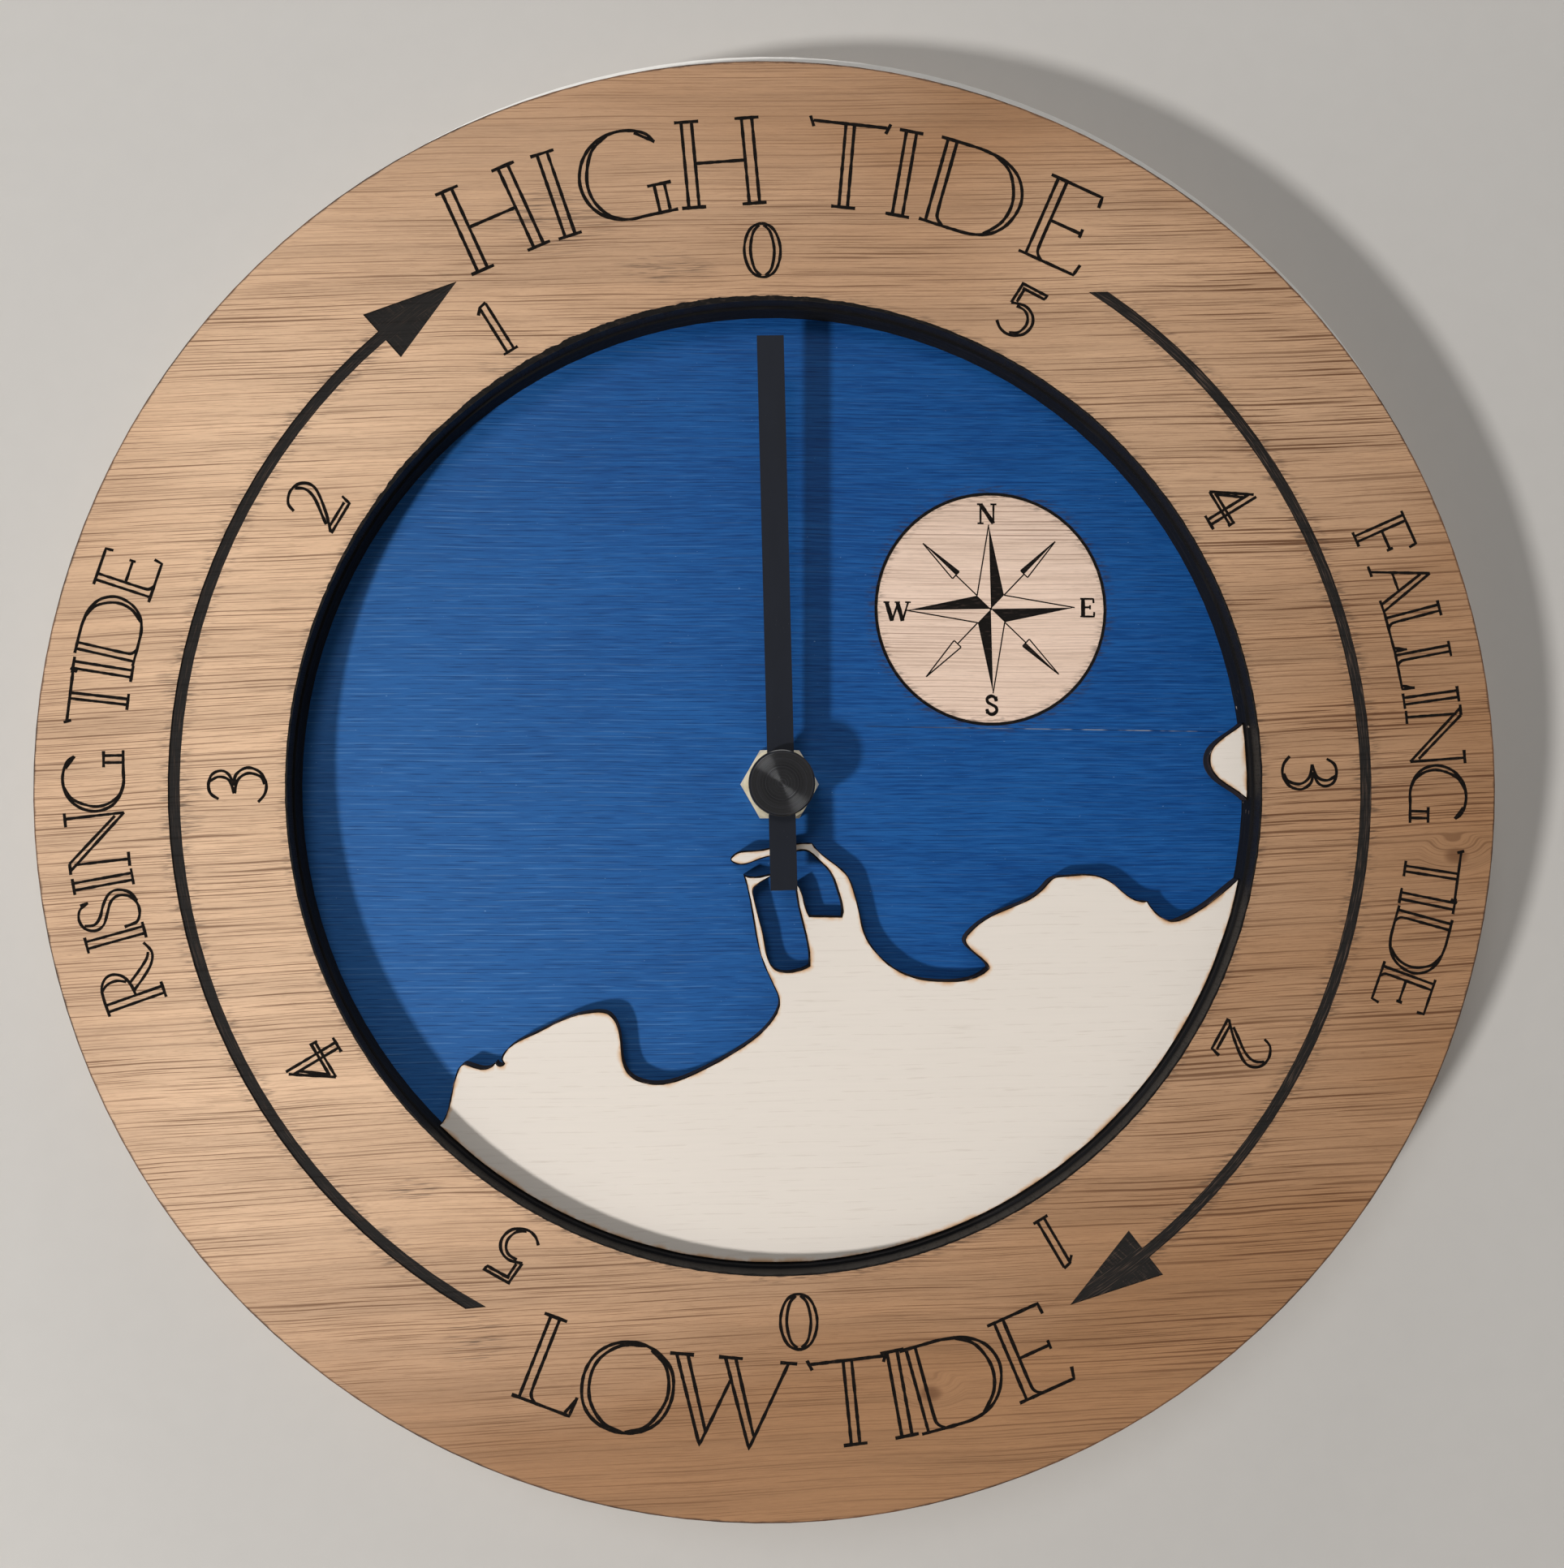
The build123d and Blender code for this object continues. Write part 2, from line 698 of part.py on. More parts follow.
def make_fifth_wheel():
    start, end = pinion_span(second_wheel_depth)
    pinion = (fifth_pinion_teeth, second_module, pinion_tooth_shares,
              pinion_phase(fifth_bearing, fifth_pinion_teeth), start, end)
    wheel = (train_wheel_teeth, fifth_module, wheel_tooth_shares, wheel_phase(rotor_bearing),
             fifth_wheel_depth, fifth_wheel_depth + wheel_thickness)
    return train_wheel(fifth_place, wheel, pinion)


def make_rotor_pinion():
    start, end = pinion_span(fifth_wheel_depth)
    phase = pinion_phase(rotor_bearing, rotor_pinion_teeth)
    outline = gear(rotor_pinion_teeth, fifth_module, pinion_tooth_shares, phase)
    pinion = slab(Pos(rotor_place[0], rotor_place[1]) * outline, start, end - start)
    return pinion + disc(train_arbor_radius, train_arbor_start, plate_depth + plate_thickness, rotor_place)


def make_rotor_magnet():
    end = magnet_start + magnet_thickness
    magnet = disc(magnet_radius, magnet_start, end, rotor_place)
    bore_radius = train_arbor_radius + press_clearance
    return magnet - disc(bore_radius, magnet_start - overrun, end + overrun, rotor_place)


def make_setting_wheel():
    body = disc(setting_stem_radius, setting_stem_start, setting_stem_end, setting_place)
    body += disc(setting_arbor_radius, setting_stem_end, setting_arbor_end, setting_place)
    wheel = gear(setting_wheel_teeth, setting_module, wheel_tooth_shares, wheel_phase(180.0))
    phase = pinion_phase(0.0, setting_pinion_teeth)
    pinion = gear(setting_pinion_teeth, tide_module, pinion_tooth_shares, phase)
    place = Pos(setting_place[0], setting_place[1])
    body += slab(place * wheel, setting_wheel_depth, setting_wheel_thickness)
    body += slab(place * pinion, tide_hub_start, setting_pinion_length)
    return body


def make_setting_knob():
    knob = disc(knob_radius, knob_face, knob_back, setting_place)
    for notch in range(knob_notch_count):
        side = compass_point(knob_radius, notch * 360 / knob_notch_count)
        place = (setting_place[0] + side[0], setting_place[1] + side[1])
        knob -= disc(knob_notch_radius, knob_face - overrun, knob_back + overrun, place)
    bore_radius = setting_stem_radius + press_clearance
    return knob - disc(bore_radius, setting_stem_start, knob_back + overrun, setting_place)


# Case of the movement
def case_outline():
    """Rounded outline that both halves of the case share."""
    middle = Pos(0, (case_top + case_bottom) / 2)
    return middle * RectangleRounded(2 * case_side, case_top - case_bottom, case_corner)


def make_back_case():
    case = slab(case_outline(), 0, back_case_height)
    case -= block(-inner_side, inner_side, case_wall, back_case_height + overrun, partition_top, inner_top)
    case -= block(-inner_side, inner_side, -overrun, back_case_height + overrun, bay_bottom, bay_top)
    case += disc(knob_cup_radius, 0, knob_cup_depth, setting_place)
    for x, z in ((0.0, 0.0), third_place, second_place, fifth_place):
        case += disc(boss_radius, 0, boss_height, (x, z))
    case += disc(rotor_boss_radius, 0, magnet_start - boss_gap, rotor_place)
    for place in post_places:
        case += disc(post_radius, 0, plate_depth, place)
        case += disc(post_stub_radius, plate_depth, plate_depth + plate_thickness, place)
    for z in stator_end_heights():
        case += disc(stator_post_radius, 0, stator_depth, (coil_x, z))
    for place in board_pad_places():
        case += disc(board_pad_radius, 0, board_depth, place)
    case -= disc(knob_recess_radius, -overrun, knob_recess_depth, setting_place)
    case -= disc(setting_stem_radius + shaft_clearance, 0, knob_cup_depth + overrun, setting_place)
    case -= disc(centre_arbor_radius + shaft_clearance, pivot_floor, boss_height + overrun)
    for place in (third_place, second_place, fifth_place, rotor_place):
        case -= disc(train_arbor_radius + shaft_clearance, pivot_floor, boss_height + overrun, place)
    for side in (-1, 1):
        notch_middle = side * (inner_side - contact_notch_width / 2)
        case -= block(notch_middle - contact_notch_width / 2, notch_middle + contact_notch_width / 2,
                      case_wall, case_wall + contact_notch_height, bay_top - overrun, partition_top + overrun)
    return case


def make_front_cover():
    """Flat cover with a thin place over the battery and a locating lip on three sides."""
    cover = slab(case_outline(), back_case_height, front_cover_thickness)
    cover -= block(-inner_side, inner_side, back_case_height - overrun, case_depth - front_cover_thin,
                   bay_bottom, bay_top)
    lip_start = back_case_height - lip_height
    lip_side = inner_side - glue_clearance
    lip_top = inner_top - glue_clearance
    lip_bottom = partition_top + glue_clearance
    lip = block(-lip_side, lip_side, lip_start, back_case_height, lip_bottom, lip_top)
    lip -= block(-lip_side + lip_thickness, lip_side - lip_thickness, lip_start - overrun,
                 back_case_height + overrun, lip_bottom - overrun, lip_top - lip_thickness)
    cover += lip
    cover += disc(setting_boss_radius, setting_boss_start, case_depth, setting_place)
    cover -= disc(setting_arbor_radius + shaft_clearance, setting_boss_start - overrun,
                  case_depth - setting_pivot_floor, setting_place)
    return cover - disc(bushing_radius + shaft_clearance, back_case_height - overrun, case_depth + overrun)


def make_train_plate():
    start = plate_depth - overrun
    end = plate_depth + plate_thickness + overrun
    outline = RectangleRounded(plate_right - plate_left, plate_top - plate_bottom, plate_corner)
    middle = Pos((plate_left + plate_right) / 2, (plate_bottom + plate_top) / 2)
    plate = slab(middle * outline, plate_depth, plate_thickness)
    plate -= disc(cannon_pipe_radius + shaft_clearance, start, end)
    plate -= disc(plate_setting_hole_radius, start, end, setting_place)
    for place in (third_place, second_place, fifth_place, rotor_place):
        plate -= disc(train_arbor_radius + shaft_clearance, start, end, place)
    for place in post_places:
        plate -= disc(post_stub_radius + shaft_clearance, start, end, place)
    return plate


def make_hanger_bracket():
    """Stepped plate: clamped behind the board, over the movement, and back to the wall."""
    side = hanger_width / 2
    bracket = block(-side, side, hanger_depth, gasket_depth, -hanger_foot, shelf_top)
    bracket += block(-side, side, 0, gasket_depth, shelf_bottom, shelf_top)
    tab = Pos(0, (shelf_bottom + hanger_top) / 2) * Rectangle(hanger_width, hanger_top - shelf_bottom)
    corners = tab.vertices().sort_by(Axis.Y)[-2:]
    bracket += slab(fillet(corners, hanger_corner), 0, hanger_thickness)
    bracket -= disc(bushing_radius + bolt_clearance, hanger_depth - overrun, gasket_depth + overrun)
    slot_end = keyhole_height + keyhole_slot_length
    bracket -= disc(keyhole_radius, -overrun, hanger_thickness + overrun, (0.0, keyhole_height))
    bracket -= disc(keyhole_slot_width / 2, -overrun, hanger_thickness + overrun, (0.0, slot_end))
    return bracket - block(-keyhole_slot_width / 2, keyhole_slot_width / 2, -overrun,
                           hanger_thickness + overrun, keyhole_height, slot_end)


# Motor and electronics
def stator_end_heights():
    """Heights of the two seats of the coil core."""
    return (core_bottom + core_seat / 2, core_top - core_seat / 2)


def stator_arm(side, height):
    """One arm of the stator, from the rotor's eye to a seat of the coil core."""
    x, z = rotor_place
    half_core = core_width / 2
    half_seat = side * core_seat / 2
    outside = compass_point(stator_eye_radius, stator_arm_outer_angle)
    inside = compass_point((stator_eye_radius + stator_hole_radius) / 2, stator_arm_inner_angle)
    return polygon([
        (x + outside[0], z + side * outside[1]),
        (x + inside[0], z + side * inside[1]),
        (coil_x - bobbin_flange_radius - coil_gap, height - half_seat),
        (coil_x + half_core, height - half_seat),
        (coil_x + half_core, height + half_seat),
        (coil_x - half_core, height + half_seat),
    ])


def make_stator_plate():
    low, high = stator_end_heights()
    eye = Pos(rotor_place[0], rotor_place[1])
    plate = eye * Circle(stator_eye_radius) + stator_arm(-1, low) + stator_arm(1, high)
    return slab(plate - eye * Circle(stator_hole_radius), stator_depth, stator_thickness)


def core_depth():
    return stator_depth + stator_thickness


def coil_bar(radius, bottom, top):
    """Round bar along the coil's axis."""
    middle_depth = core_depth() + core_thickness / 2
    return extrude(Plane.XY.offset(bottom) * Pos(coil_x, -middle_depth) * Circle(radius), amount=top - bottom)


def make_coil_core():
    half = core_width / 2
    start = core_depth()
    return block(coil_x - half, coil_x + half, start, start + core_thickness, core_bottom, core_top)


def make_coil_bobbin():
    bottom = core_bottom + core_seat + coil_gap
    top = core_top - core_seat - coil_gap
    bobbin = coil_bar(bobbin_barrel_radius, bottom, top)
    bobbin += coil_bar(bobbin_flange_radius, bottom, bottom + bobbin_flange_thickness)
    bobbin += coil_bar(bobbin_flange_radius, top - bobbin_flange_thickness, top)
    half = core_width / 2 + shaft_clearance
    return bobbin - block(coil_x - half, coil_x + half, core_depth() - shaft_clearance,
                          core_depth() + core_thickness + shaft_clearance, bottom - overrun, top + overrun)


def make_coil_winding():
    bottom = core_bottom + core_seat + coil_gap + bobbin_flange_thickness + shaft_clearance
    top = core_top - core_seat - coil_gap - bobbin_flange_thickness - shaft_clearance
    winding = coil_bar(winding_radius, bottom, top)
    return winding - coil_bar(bobbin_barrel_radius + press_clearance, bottom - overrun, top + overrun)


def board_pad_places():
    """Two pads of the back case under the circuit board."""
    return (
        (board_left + board_pad_inset, board_bottom + board_pad_inset),
        (board_right - board_pad_inset, board_top - board_pad_inset),
    )


def make_circuit_board():
    return block(board_left, board_right, board_depth, board_depth + board_thickness, board_bottom, board_top)


def make_quartz_crystal():
    depth = board_depth + board_thickness + crystal_radius + shaft_clearance
    x = board_right - crystal_radius - crystal_radius
    bottom = board_bottom + crystal_radius
    can = extrude(Plane.XY.offset(bottom) * Pos(x, -depth) * Circle(crystal_radius), amount=crystal_length)
    return fillet(can.edges().sort_by(Axis.Z)[-1], crystal_radius / 4)


def make_clock_chip():
    start = board_depth + board_thickness
    place = (board_left + chip_radius + chip_round, (board_bottom + board_top) / 2)
    blob = disc(chip_radius, start, start + chip_height, place)
    return fillet(blob.edges().sort_by(Axis.Y)[0], chip_round)


# Battery and its contacts
def battery_bar(radius, left, right):
    """Round bar along the battery's axis."""
    outline = Pos(-battery_depth, battery_z) * Circle(radius)
    return extrude(Plane.YZ.offset(left) * outline, amount=right - left)


def battery_ends():
    half = (battery_can_length + battery_nub_length) / 2
    return (battery_shift - half, battery_shift + half)


def make_battery():
    left, right = battery_ends()
    can = battery_bar(battery_radius, left, right - battery_nub_length)
    can = chamfer(can.edges(), battery_edge)
    return can + battery_bar(battery_nub_radius, right - battery_nub_length, right)


def contact_plate(outer, inner, bottom, top):
    """Upright plate at one end of the battery bay."""
    start = battery_depth - contact_height / 2
    return block(min(outer, inner), max(outer, inner), start, start + contact_height, bottom, top)


def make_positive_contact():
    right = battery_ends()[1]
    outer = inner_side - contact_gap
    inner = outer - contact_thickness
    contact = contact_plate(outer, inner, battery_z - contact_width / 2, battery_z + contact_width / 2)
    contact += battery_bar(contact_dimple_radius, right + contact_gap, inner)
    tab_start = case_wall + contact_gap
    return contact + block(inner, outer, tab_start, tab_start + contact_tab_width,
                           battery_z + contact_width / 2 - contact_thickness, board_bottom)


def make_negative_contact():
    left = battery_ends()[0]
    outer = contact_gap - inner_side
    inner = outer + contact_thickness
    contact = contact_plate(outer, inner, battery_z - contact_width / 2, battery_z + contact_width / 2)
    tip = left - contact_gap
    leaf = Plane.XZ.offset(battery_depth - contact_tab_width) * polygon([
        (inner, battery_z - contact_width / 2),
        (tip, battery_z - contact_thickness),
        (tip, battery_z + contact_thickness),
        (inner, battery_z + contact_width / 2),
        (inner, battery_z + contact_width / 2 - contact_leaf_rise),
        (tip - contact_thickness, battery_z),
        (inner, battery_z - contact_width / 2 + contact_leaf_rise),
    ])
    contact += extrude(leaf, amount=contact_tab_width + contact_tab_width)
    tab_start = case_wall + contact_gap
    strip_top = partition_top + contact_gap + contact_strip_width
    contact += block(outer, inner, tab_start, tab_start + contact_tab_width,
                     battery_z + contact_width / 2 - contact_thickness, strip_top)
    return contact + block(outer, board_left, tab_start, tab_start + contact_thickness,
                           partition_top + contact_gap, strip_top)


nodes = {
    "front_ring": make_front_ring(),
    "spacer_ring": make_spacer_ring(),
    "sea_board": make_sea_board(),
    "land_piece": make_land_piece(),
    "islet_piece": make_islet_piece(),
    "hex_nut": make_hex_nut(),
    "bushing_washer": make_bushing_washer(),
    "rubber_gasket": make_rubber_gasket(),
    "hanger_bracket": make_hanger_bracket(),
    "threaded_bushing": make_threaded_bushing(),
    "movement_front_cover": make_front_cover(),
    "movement_back_case": make_back_case(),
    "train_plate": make_train_plate(),
    "tide_wheel": make_tide_wheel(),
    "hand_collet": make_hand_collet(),
    "tide_hand": make_tide_hand(),
    "hand_cap": make_hand_cap(),
    "setting_wheel": make_setting_wheel(),
    "setting_knob": make_setting_knob(),
    "cannon_pinion": make_cannon_pinion(),
    "centre_wheel": make_centre_wheel(),
    "centre_arbor": make_centre_arbor(),
    "third_wheel": make_third_wheel(),
    "second_wheel": make_second_wheel(),
    "fifth_wheel": make_fifth_wheel(),
    "rotor_pinion": make_rotor_pinion(),
    "rotor_magnet": make_rotor_magnet(),
    "stator_plate": make_stator_plate(),
    "coil_core": make_coil_core(),
    "coil_bobbin": make_coil_bobbin(),
    "coil_winding": make_coil_winding(),
    "circuit_board": make_circuit_board(),
    "quartz_crystal": make_quartz_crystal(),
    "clock_chip": make_clock_chip(),
    "battery_contact_positive": make_positive_contact(),
    "battery_contact_negative": make_negative_contact(),
    "battery": make_battery(),
}

os.makedirs("parts", exist_ok=True)
for name, shape in nodes.items():
    export_step(shape, f"parts/{name}.step")
    print(name, len(shape.solids()), round(shape.volume, 1), shape.is_valid)
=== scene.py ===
import math

import bmesh
import bpy
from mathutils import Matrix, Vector, noise


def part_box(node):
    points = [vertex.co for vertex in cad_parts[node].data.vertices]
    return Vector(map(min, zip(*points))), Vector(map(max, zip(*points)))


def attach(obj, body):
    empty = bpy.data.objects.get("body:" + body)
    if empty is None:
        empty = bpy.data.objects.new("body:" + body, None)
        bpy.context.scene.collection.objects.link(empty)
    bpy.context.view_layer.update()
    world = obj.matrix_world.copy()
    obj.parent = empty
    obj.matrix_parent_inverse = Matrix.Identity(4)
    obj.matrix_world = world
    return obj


bl_info = {
    "name": "Tide Clock Dressing",
    "version": (1, 0, 0),
    "blender": (4, 5, 0),
    "location": "3D View > Sidebar > Tide Clock",
    "description": "Finishes, burnt lettering and studio for a wooden wall tide clock",
    "category": "Object",
}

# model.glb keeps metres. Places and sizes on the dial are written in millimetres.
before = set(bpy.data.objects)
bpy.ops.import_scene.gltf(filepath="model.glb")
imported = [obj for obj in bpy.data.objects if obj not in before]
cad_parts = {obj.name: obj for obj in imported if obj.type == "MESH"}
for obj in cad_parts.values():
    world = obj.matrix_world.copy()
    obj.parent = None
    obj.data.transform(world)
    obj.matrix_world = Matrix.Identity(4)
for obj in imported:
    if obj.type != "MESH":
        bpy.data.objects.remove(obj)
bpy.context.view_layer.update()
mm = 0.001

clock_body = "clock_body"

# Heights of the dial's faces over the wall, and the depth of the burnt arrows and rose
ring_face = -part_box("front_ring")[0].y / mm
sea_face = -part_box("spacer_ring")[1].y / mm
land_face = -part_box("land_piece")[0].y / mm
engraving_depth = 0.3

# Rounds of the dial, and the places of its knots and soot: x, z, radius and, for soot, flatness
compass_middle = (45.3, 37.6)
compass_radius = 25.0
ring_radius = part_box("front_ring")[1].x / mm
board_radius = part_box("sea_board")[1].x / mm
opening_radius = 100.0
arrow_radius = 122.4
arrow_half_width = 1.4
arrow_zone = (112.0, 133.0)
ring_knots = ((141.5, -15.0, 3.2), (30.5, -124.5, 3.0))
soot_places = (
    (-47.0, 116.0, 15.0, 1.6), (-24.0, 106.0, 12.0, 3.0), (-122.0, 21.0, 5.0, 0.8), (-74.0, -82.0, 7.0, 2.2),
    (-62.0, -112.0, 8.0, 1.2), (-120.0, -5.0, 5.0, 0.6), (0.0, 97.0, 18.0, 4.5), (-56.0, 86.0, 8.0, 2.5),
)

# Burnt crust: how far it reaches into the wood, and the steps that part strokes which cross
crust_depth = 0.1
crossing_step = 0.002
crossing_steps = 9
# Name of the texture coordinate that runs inwards over the scorch
fringe_map = "across_the_fringe"
# Uneven numbers that scatter the rows of the grain
scatter_turn = 12.9898
scatter_stretch = 43.7585


def linear(red, green, blue):
    """Colour from the usual 0 to 255 values, as linear light."""
    levels = []
    for level in (red, green, blue):
        share = level / 255
        levels.append(share / 12.92 if share <= 0.04045 else ((share + 0.055) / 1.055) ** 2.4)
    return tuple(levels)


def colour_setting(name, description, colour):
    return bpy.props.FloatVectorProperty(
        name=name, description=description, default=linear(*colour), subtype="COLOR", size=3,
        min=0.0, max=1.0)


def length_setting(name, description, millimetres):
    return bpy.props.FloatProperty(
        name=name, description=description, default=millimetres * mm, min=0.0, precision=5, unit="LENGTH")


# Sizes and colours that a user would change
class TideClockLettering(bpy.types.PropertyGroup):
    """Sizes of the burnt letters and edges."""

    word_line: length_setting("Word line", "Width of a burnt line in the words above and below", 0.68)
    side_line: length_setting("Side line", "Width of a burnt line in the words at the sides", 0.58)
    number_line: length_setting("Number line", "Width of a burnt line in the numbers", 0.60)
    compass_line: length_setting("Compass line", "Width of a burnt line in the compass letters", 0.52)
    letter_rise: length_setting("Letter rise", "Height of the burnt crust over the wood", 0.03)
    land_edge: length_setting("Land edge", "Width of the burnt line along the cut-out coast", 0.26)
    land_fringe: length_setting("Land fringe", "Width of the brown fringe inside that line", 1.5)
    opening_edge: length_setting("Opening edge", "Usual width of the char round the dial's opening", 0.34)


class TideClockColours(bpy.types.PropertyGroup):
    """Colours of the finishes."""

    # The ring's pale and deep browns are mixed by a share that grows to the right: part of that rise is
    # painted shade, the rest the wood's own tone.
    ring_wood: colour_setting("Ring wood", "Pale wood at the left of the front ring", (226, 189, 155))
    ring_wood_deep_and_shaded: colour_setting("Ring wood, deep", "Browner wood, right, top and bottom", (158, 117, 82))
    ring_grain: colour_setting("Ring grain", "Fine dark grain lines", (90, 55, 30))
    burnt: colour_setting("Burnt", "Laser-burnt wood", (17, 14, 12))
    scorch: colour_setting("Scorch", "Orange-brown scorch beside a cut", (206, 158, 104))
    sea: colour_setting("Sea", "Blue paint", (24, 84, 148))
    sea_deep: colour_setting("Sea, deep", "Blue paint where the brush left less", (6, 60, 120))
    # Paler blue mixed in towards the lower left: painted light and a painted sheen, not chalky paint.
    sea_painted_light_and_sheen: colour_setting("Sea, dusty", "Chalky blue paint at the lower left", (50, 104, 164))
    bare_wood: colour_setting("Bare wood", "Bare round under the compass rose", (234, 207, 188))
    land: colour_setting("Land", "Pale washed wood of the coast", (222, 213, 203))
    spacer_black: colour_setting("Spacer black", "Paint inside the opening", (19, 19, 21))
    spacer_white: colour_setting("Spacer white", "Paint on the outer edge", (236, 234, 229))
    hand: colour_setting("Hand", "Dark paint of the hand", (22, 25, 33))
    cap: colour_setting("Cap", "Turned black cap", (20, 20, 22))
    nut: colour_setting("Nut", "Pale brass of the nut", (244, 234, 208))
    wall: colour_setting("Wall", "Plain pale wall and floor", (190, 187, 183))


# Shader maths
def feed(tree, socket, value):
    """Link a socket, or set its value."""
    if isinstance(value, Signal):
        tree.links.new(value.socket, socket)
    elif isinstance(value, bpy.types.NodeSocket):
        tree.links.new(value, socket)
    elif socket.type == "RGBA":
        socket.default_value = (*value[:3], 1.0)
    else:
        socket.default_value = value


def add_node(tree, kind, settings=None, sockets=None):
    """Add a node: its settings first, then the values or links of its sockets."""
    made = tree.nodes.new(kind)
    for label, value in (settings or {}).items():
        setattr(made, label, value)
    for label, value in (sockets or {}).items():
        feed(tree, made.inputs[label], value)
    return made


def operator_pair(operation):
    """Method for an operator on signals, and the method for its reflected form."""
    def plain(self, other):
        return self.finish.maths(operation, self, other)

    def reflected(self, other):
        return self.finish.maths(operation, other, self)

    return plain, reflected


class Signal:
    """Shader socket that can be used in sums, as a plain number can."""

    def __init__(self, finish, socket):
        self.finish = finish
        self.socket = socket

    __add__, __radd__ = operator_pair("ADD")
    __sub__, __rsub__ = operator_pair("SUBTRACT")
    __mul__, __rmul__ = operator_pair("MULTIPLY")
    __truediv__, __rtruediv__ = operator_pair("DIVIDE")

    def __abs__(self):
        return self.finish.maths("ABSOLUTE", self)


class Finish:
    """Material under construction, with a Principled shader at its end."""

    def __init__(self, name, **settings):
        self.material = bpy.data.materials.new(name)
        self.material.use_nodes = True
        self.tree = self.material.node_tree
        self.tree.nodes.clear()
        labels = {"roughness": "Roughness", "metallic": "Metallic", "specular": "Specular IOR Level"}
        sockets = {labels[label]: value for label, value in settings.items()}
        self.shader = self.node("ShaderNodeBsdfPrincipled", {}, sockets)
        self.node("ShaderNodeOutputMaterial", {}, {"Surface": self.shader.outputs["BSDF"]})
        coordinates = self.node("ShaderNodeTexCoord")
        scaled = self.node("ShaderNodeVectorMath", {"operation": "SCALE"},
                           {"Vector": coordinates.outputs["Object"], "Scale": 1 / mm})
        parts = self.node("ShaderNodeSeparateXYZ", {}, {"Vector": scaled.outputs["Vector"]})
        self.x = Signal(self, parts.outputs["X"])
        self.y = Signal(self, parts.outputs["Y"])
        self.z = Signal(self, parts.outputs["Z"])

    @property
    def front(self):
        """Height over the wall."""
        return self.y * -1

    def node(self, kind, settings=None, sockets=None):
        return add_node(self.tree, kind, settings, sockets)

    def maths(self, operation, *values):
        made = self.node("ShaderNodeMath", {"operation": operation}, dict(enumerate(values)))
        return Signal(self, made.outputs["Value"])

    def larger(self, first, second):
        return self.maths("MAXIMUM", first, second)

    def step(self, value, low, high):
        """Smooth rise from 0 at low to 1 at high; low may be the larger."""
        made = self.node("ShaderNodeMapRange", {"interpolation_type": "SMOOTHSTEP"},
                         {"Value": value, "From Min": low, "From Max": high})
        return Signal(self, made.outputs["Result"])

    def within(self, value, low, high, soft):
        """1 between low and high, with soft ends."""
        return self.step(value, low - soft, low) * self.step(value, high + soft, high)

    def mix(self, share, first, second):
        """Colour that goes from the first to the second as share goes from 0 to 1."""
        made = self.node("ShaderNodeMix", {"data_type": "RGBA"}, {0: share, 6: first, 7: second})
        return Signal(self, made.outputs[2])

    def lighten(self, colour, factor):
        """Colour times a number."""
        made = self.node("ShaderNodeVectorMath", {"operation": "SCALE"},
                         {"Vector": colour, "Scale": factor})
        return Signal(self, made.outputs["Vector"])

    def noise(self, x, y, z, detail=2.0, roughness=0.5):
        """Noise over a point whose parts are already in units of one blotch."""
        point = self.node("ShaderNodeCombineXYZ", {}, {"X": x, "Y": y, "Z": z})
        made = self.node("ShaderNodeTexNoise", {"noise_dimensions": "3D"}, {
            "Vector": point.outputs["Vector"], "Scale": 1.0, "Detail": detail, "Roughness": roughness})
        return Signal(self, made.outputs[0])

    def blotches(self, across, deep, up, detail=2.0, roughness=0.5, height=None):
        """Noise with blotches of a size in millimetres; height takes the place of z along the grain."""
        upwards = self.z if height is None else height
        return self.noise(self.x / across, self.y / deep, upwards / up, detail, roughness)

    def grit(self, size, detail=2.0):
        """Noise with round blotches."""
        return self.blotches(size, size, size, detail)

    def distance(self, x=0.0, z=0.0):
        """Distance from a line along the clock's depth, which is its axis unless told otherwise."""
        across = self.x - x
        up = self.z - z
        return self.maths("SQRT", across * across + up * up)

    def spot(self, x, z, radius, flatness=1.0):
        """Soft round or flattened spot round a place on the dial."""
        across = (self.x - x) / radius
        up = (self.z - z) * flatness / radius
        return self.step(across * across + up * up, 1.0, 0.0)

    def bump(self, height, depth, strength=1.0):
        """Relief, with its depth in millimetres."""
        made = self.node("ShaderNodeBump", {},
                         {"Height": height, "Distance": depth * mm, "Strength": strength})
        feed(self.tree, self.shader.inputs["Normal"], made.outputs["Normal"])

    def finish(self, colour, roughness=None):
        """Set what varies over the surface."""
        feed(self.tree, self.shader.inputs["Base Color"], colour)
        if roughness is not None:
            feed(self.tree, self.shader.inputs["Roughness"], roughness)
        return self.material


# Wood
def grain_height(wood, slope=0.0):
    """Height along the dial that follows the grain, which rises a little to the right."""
    rise = wood.x * slope + wood.x * wood.x * wood.x * (slope * 0.00002)
    waves = wood.blotches(60, 70, 40) - 0.5
    return wood.z - rise + waves * 2.2


def grain_lines(wood, height, spacing, thickness, length, seed):
    """Fine dark dashes along the grain: one row each spacing, with tapered ends, all in millimetres."""
    soft = 0.05
    place = height / spacing
    row = wood.maths("FLOOR", place)
    # Each row has a shift of its own, and a dash where the noise along it is high.
    shift = wood.maths("FRACT", wood.maths("SINE", row * scatter_turn + seed) * scatter_stretch)
    across = abs(place - row - 0.2 - shift * 0.6) * spacing
    run = wood.noise(wood.x / length + shift * 37.0, row * 3.7, wood.y + seed, 1.5)
    half = wood.larger((run - 0.40) * thickness * 3.0, -0.2)
    return wood.step(across, half + soft, half - soft) * wood.step(half, 0.0, thickness * 0.3)


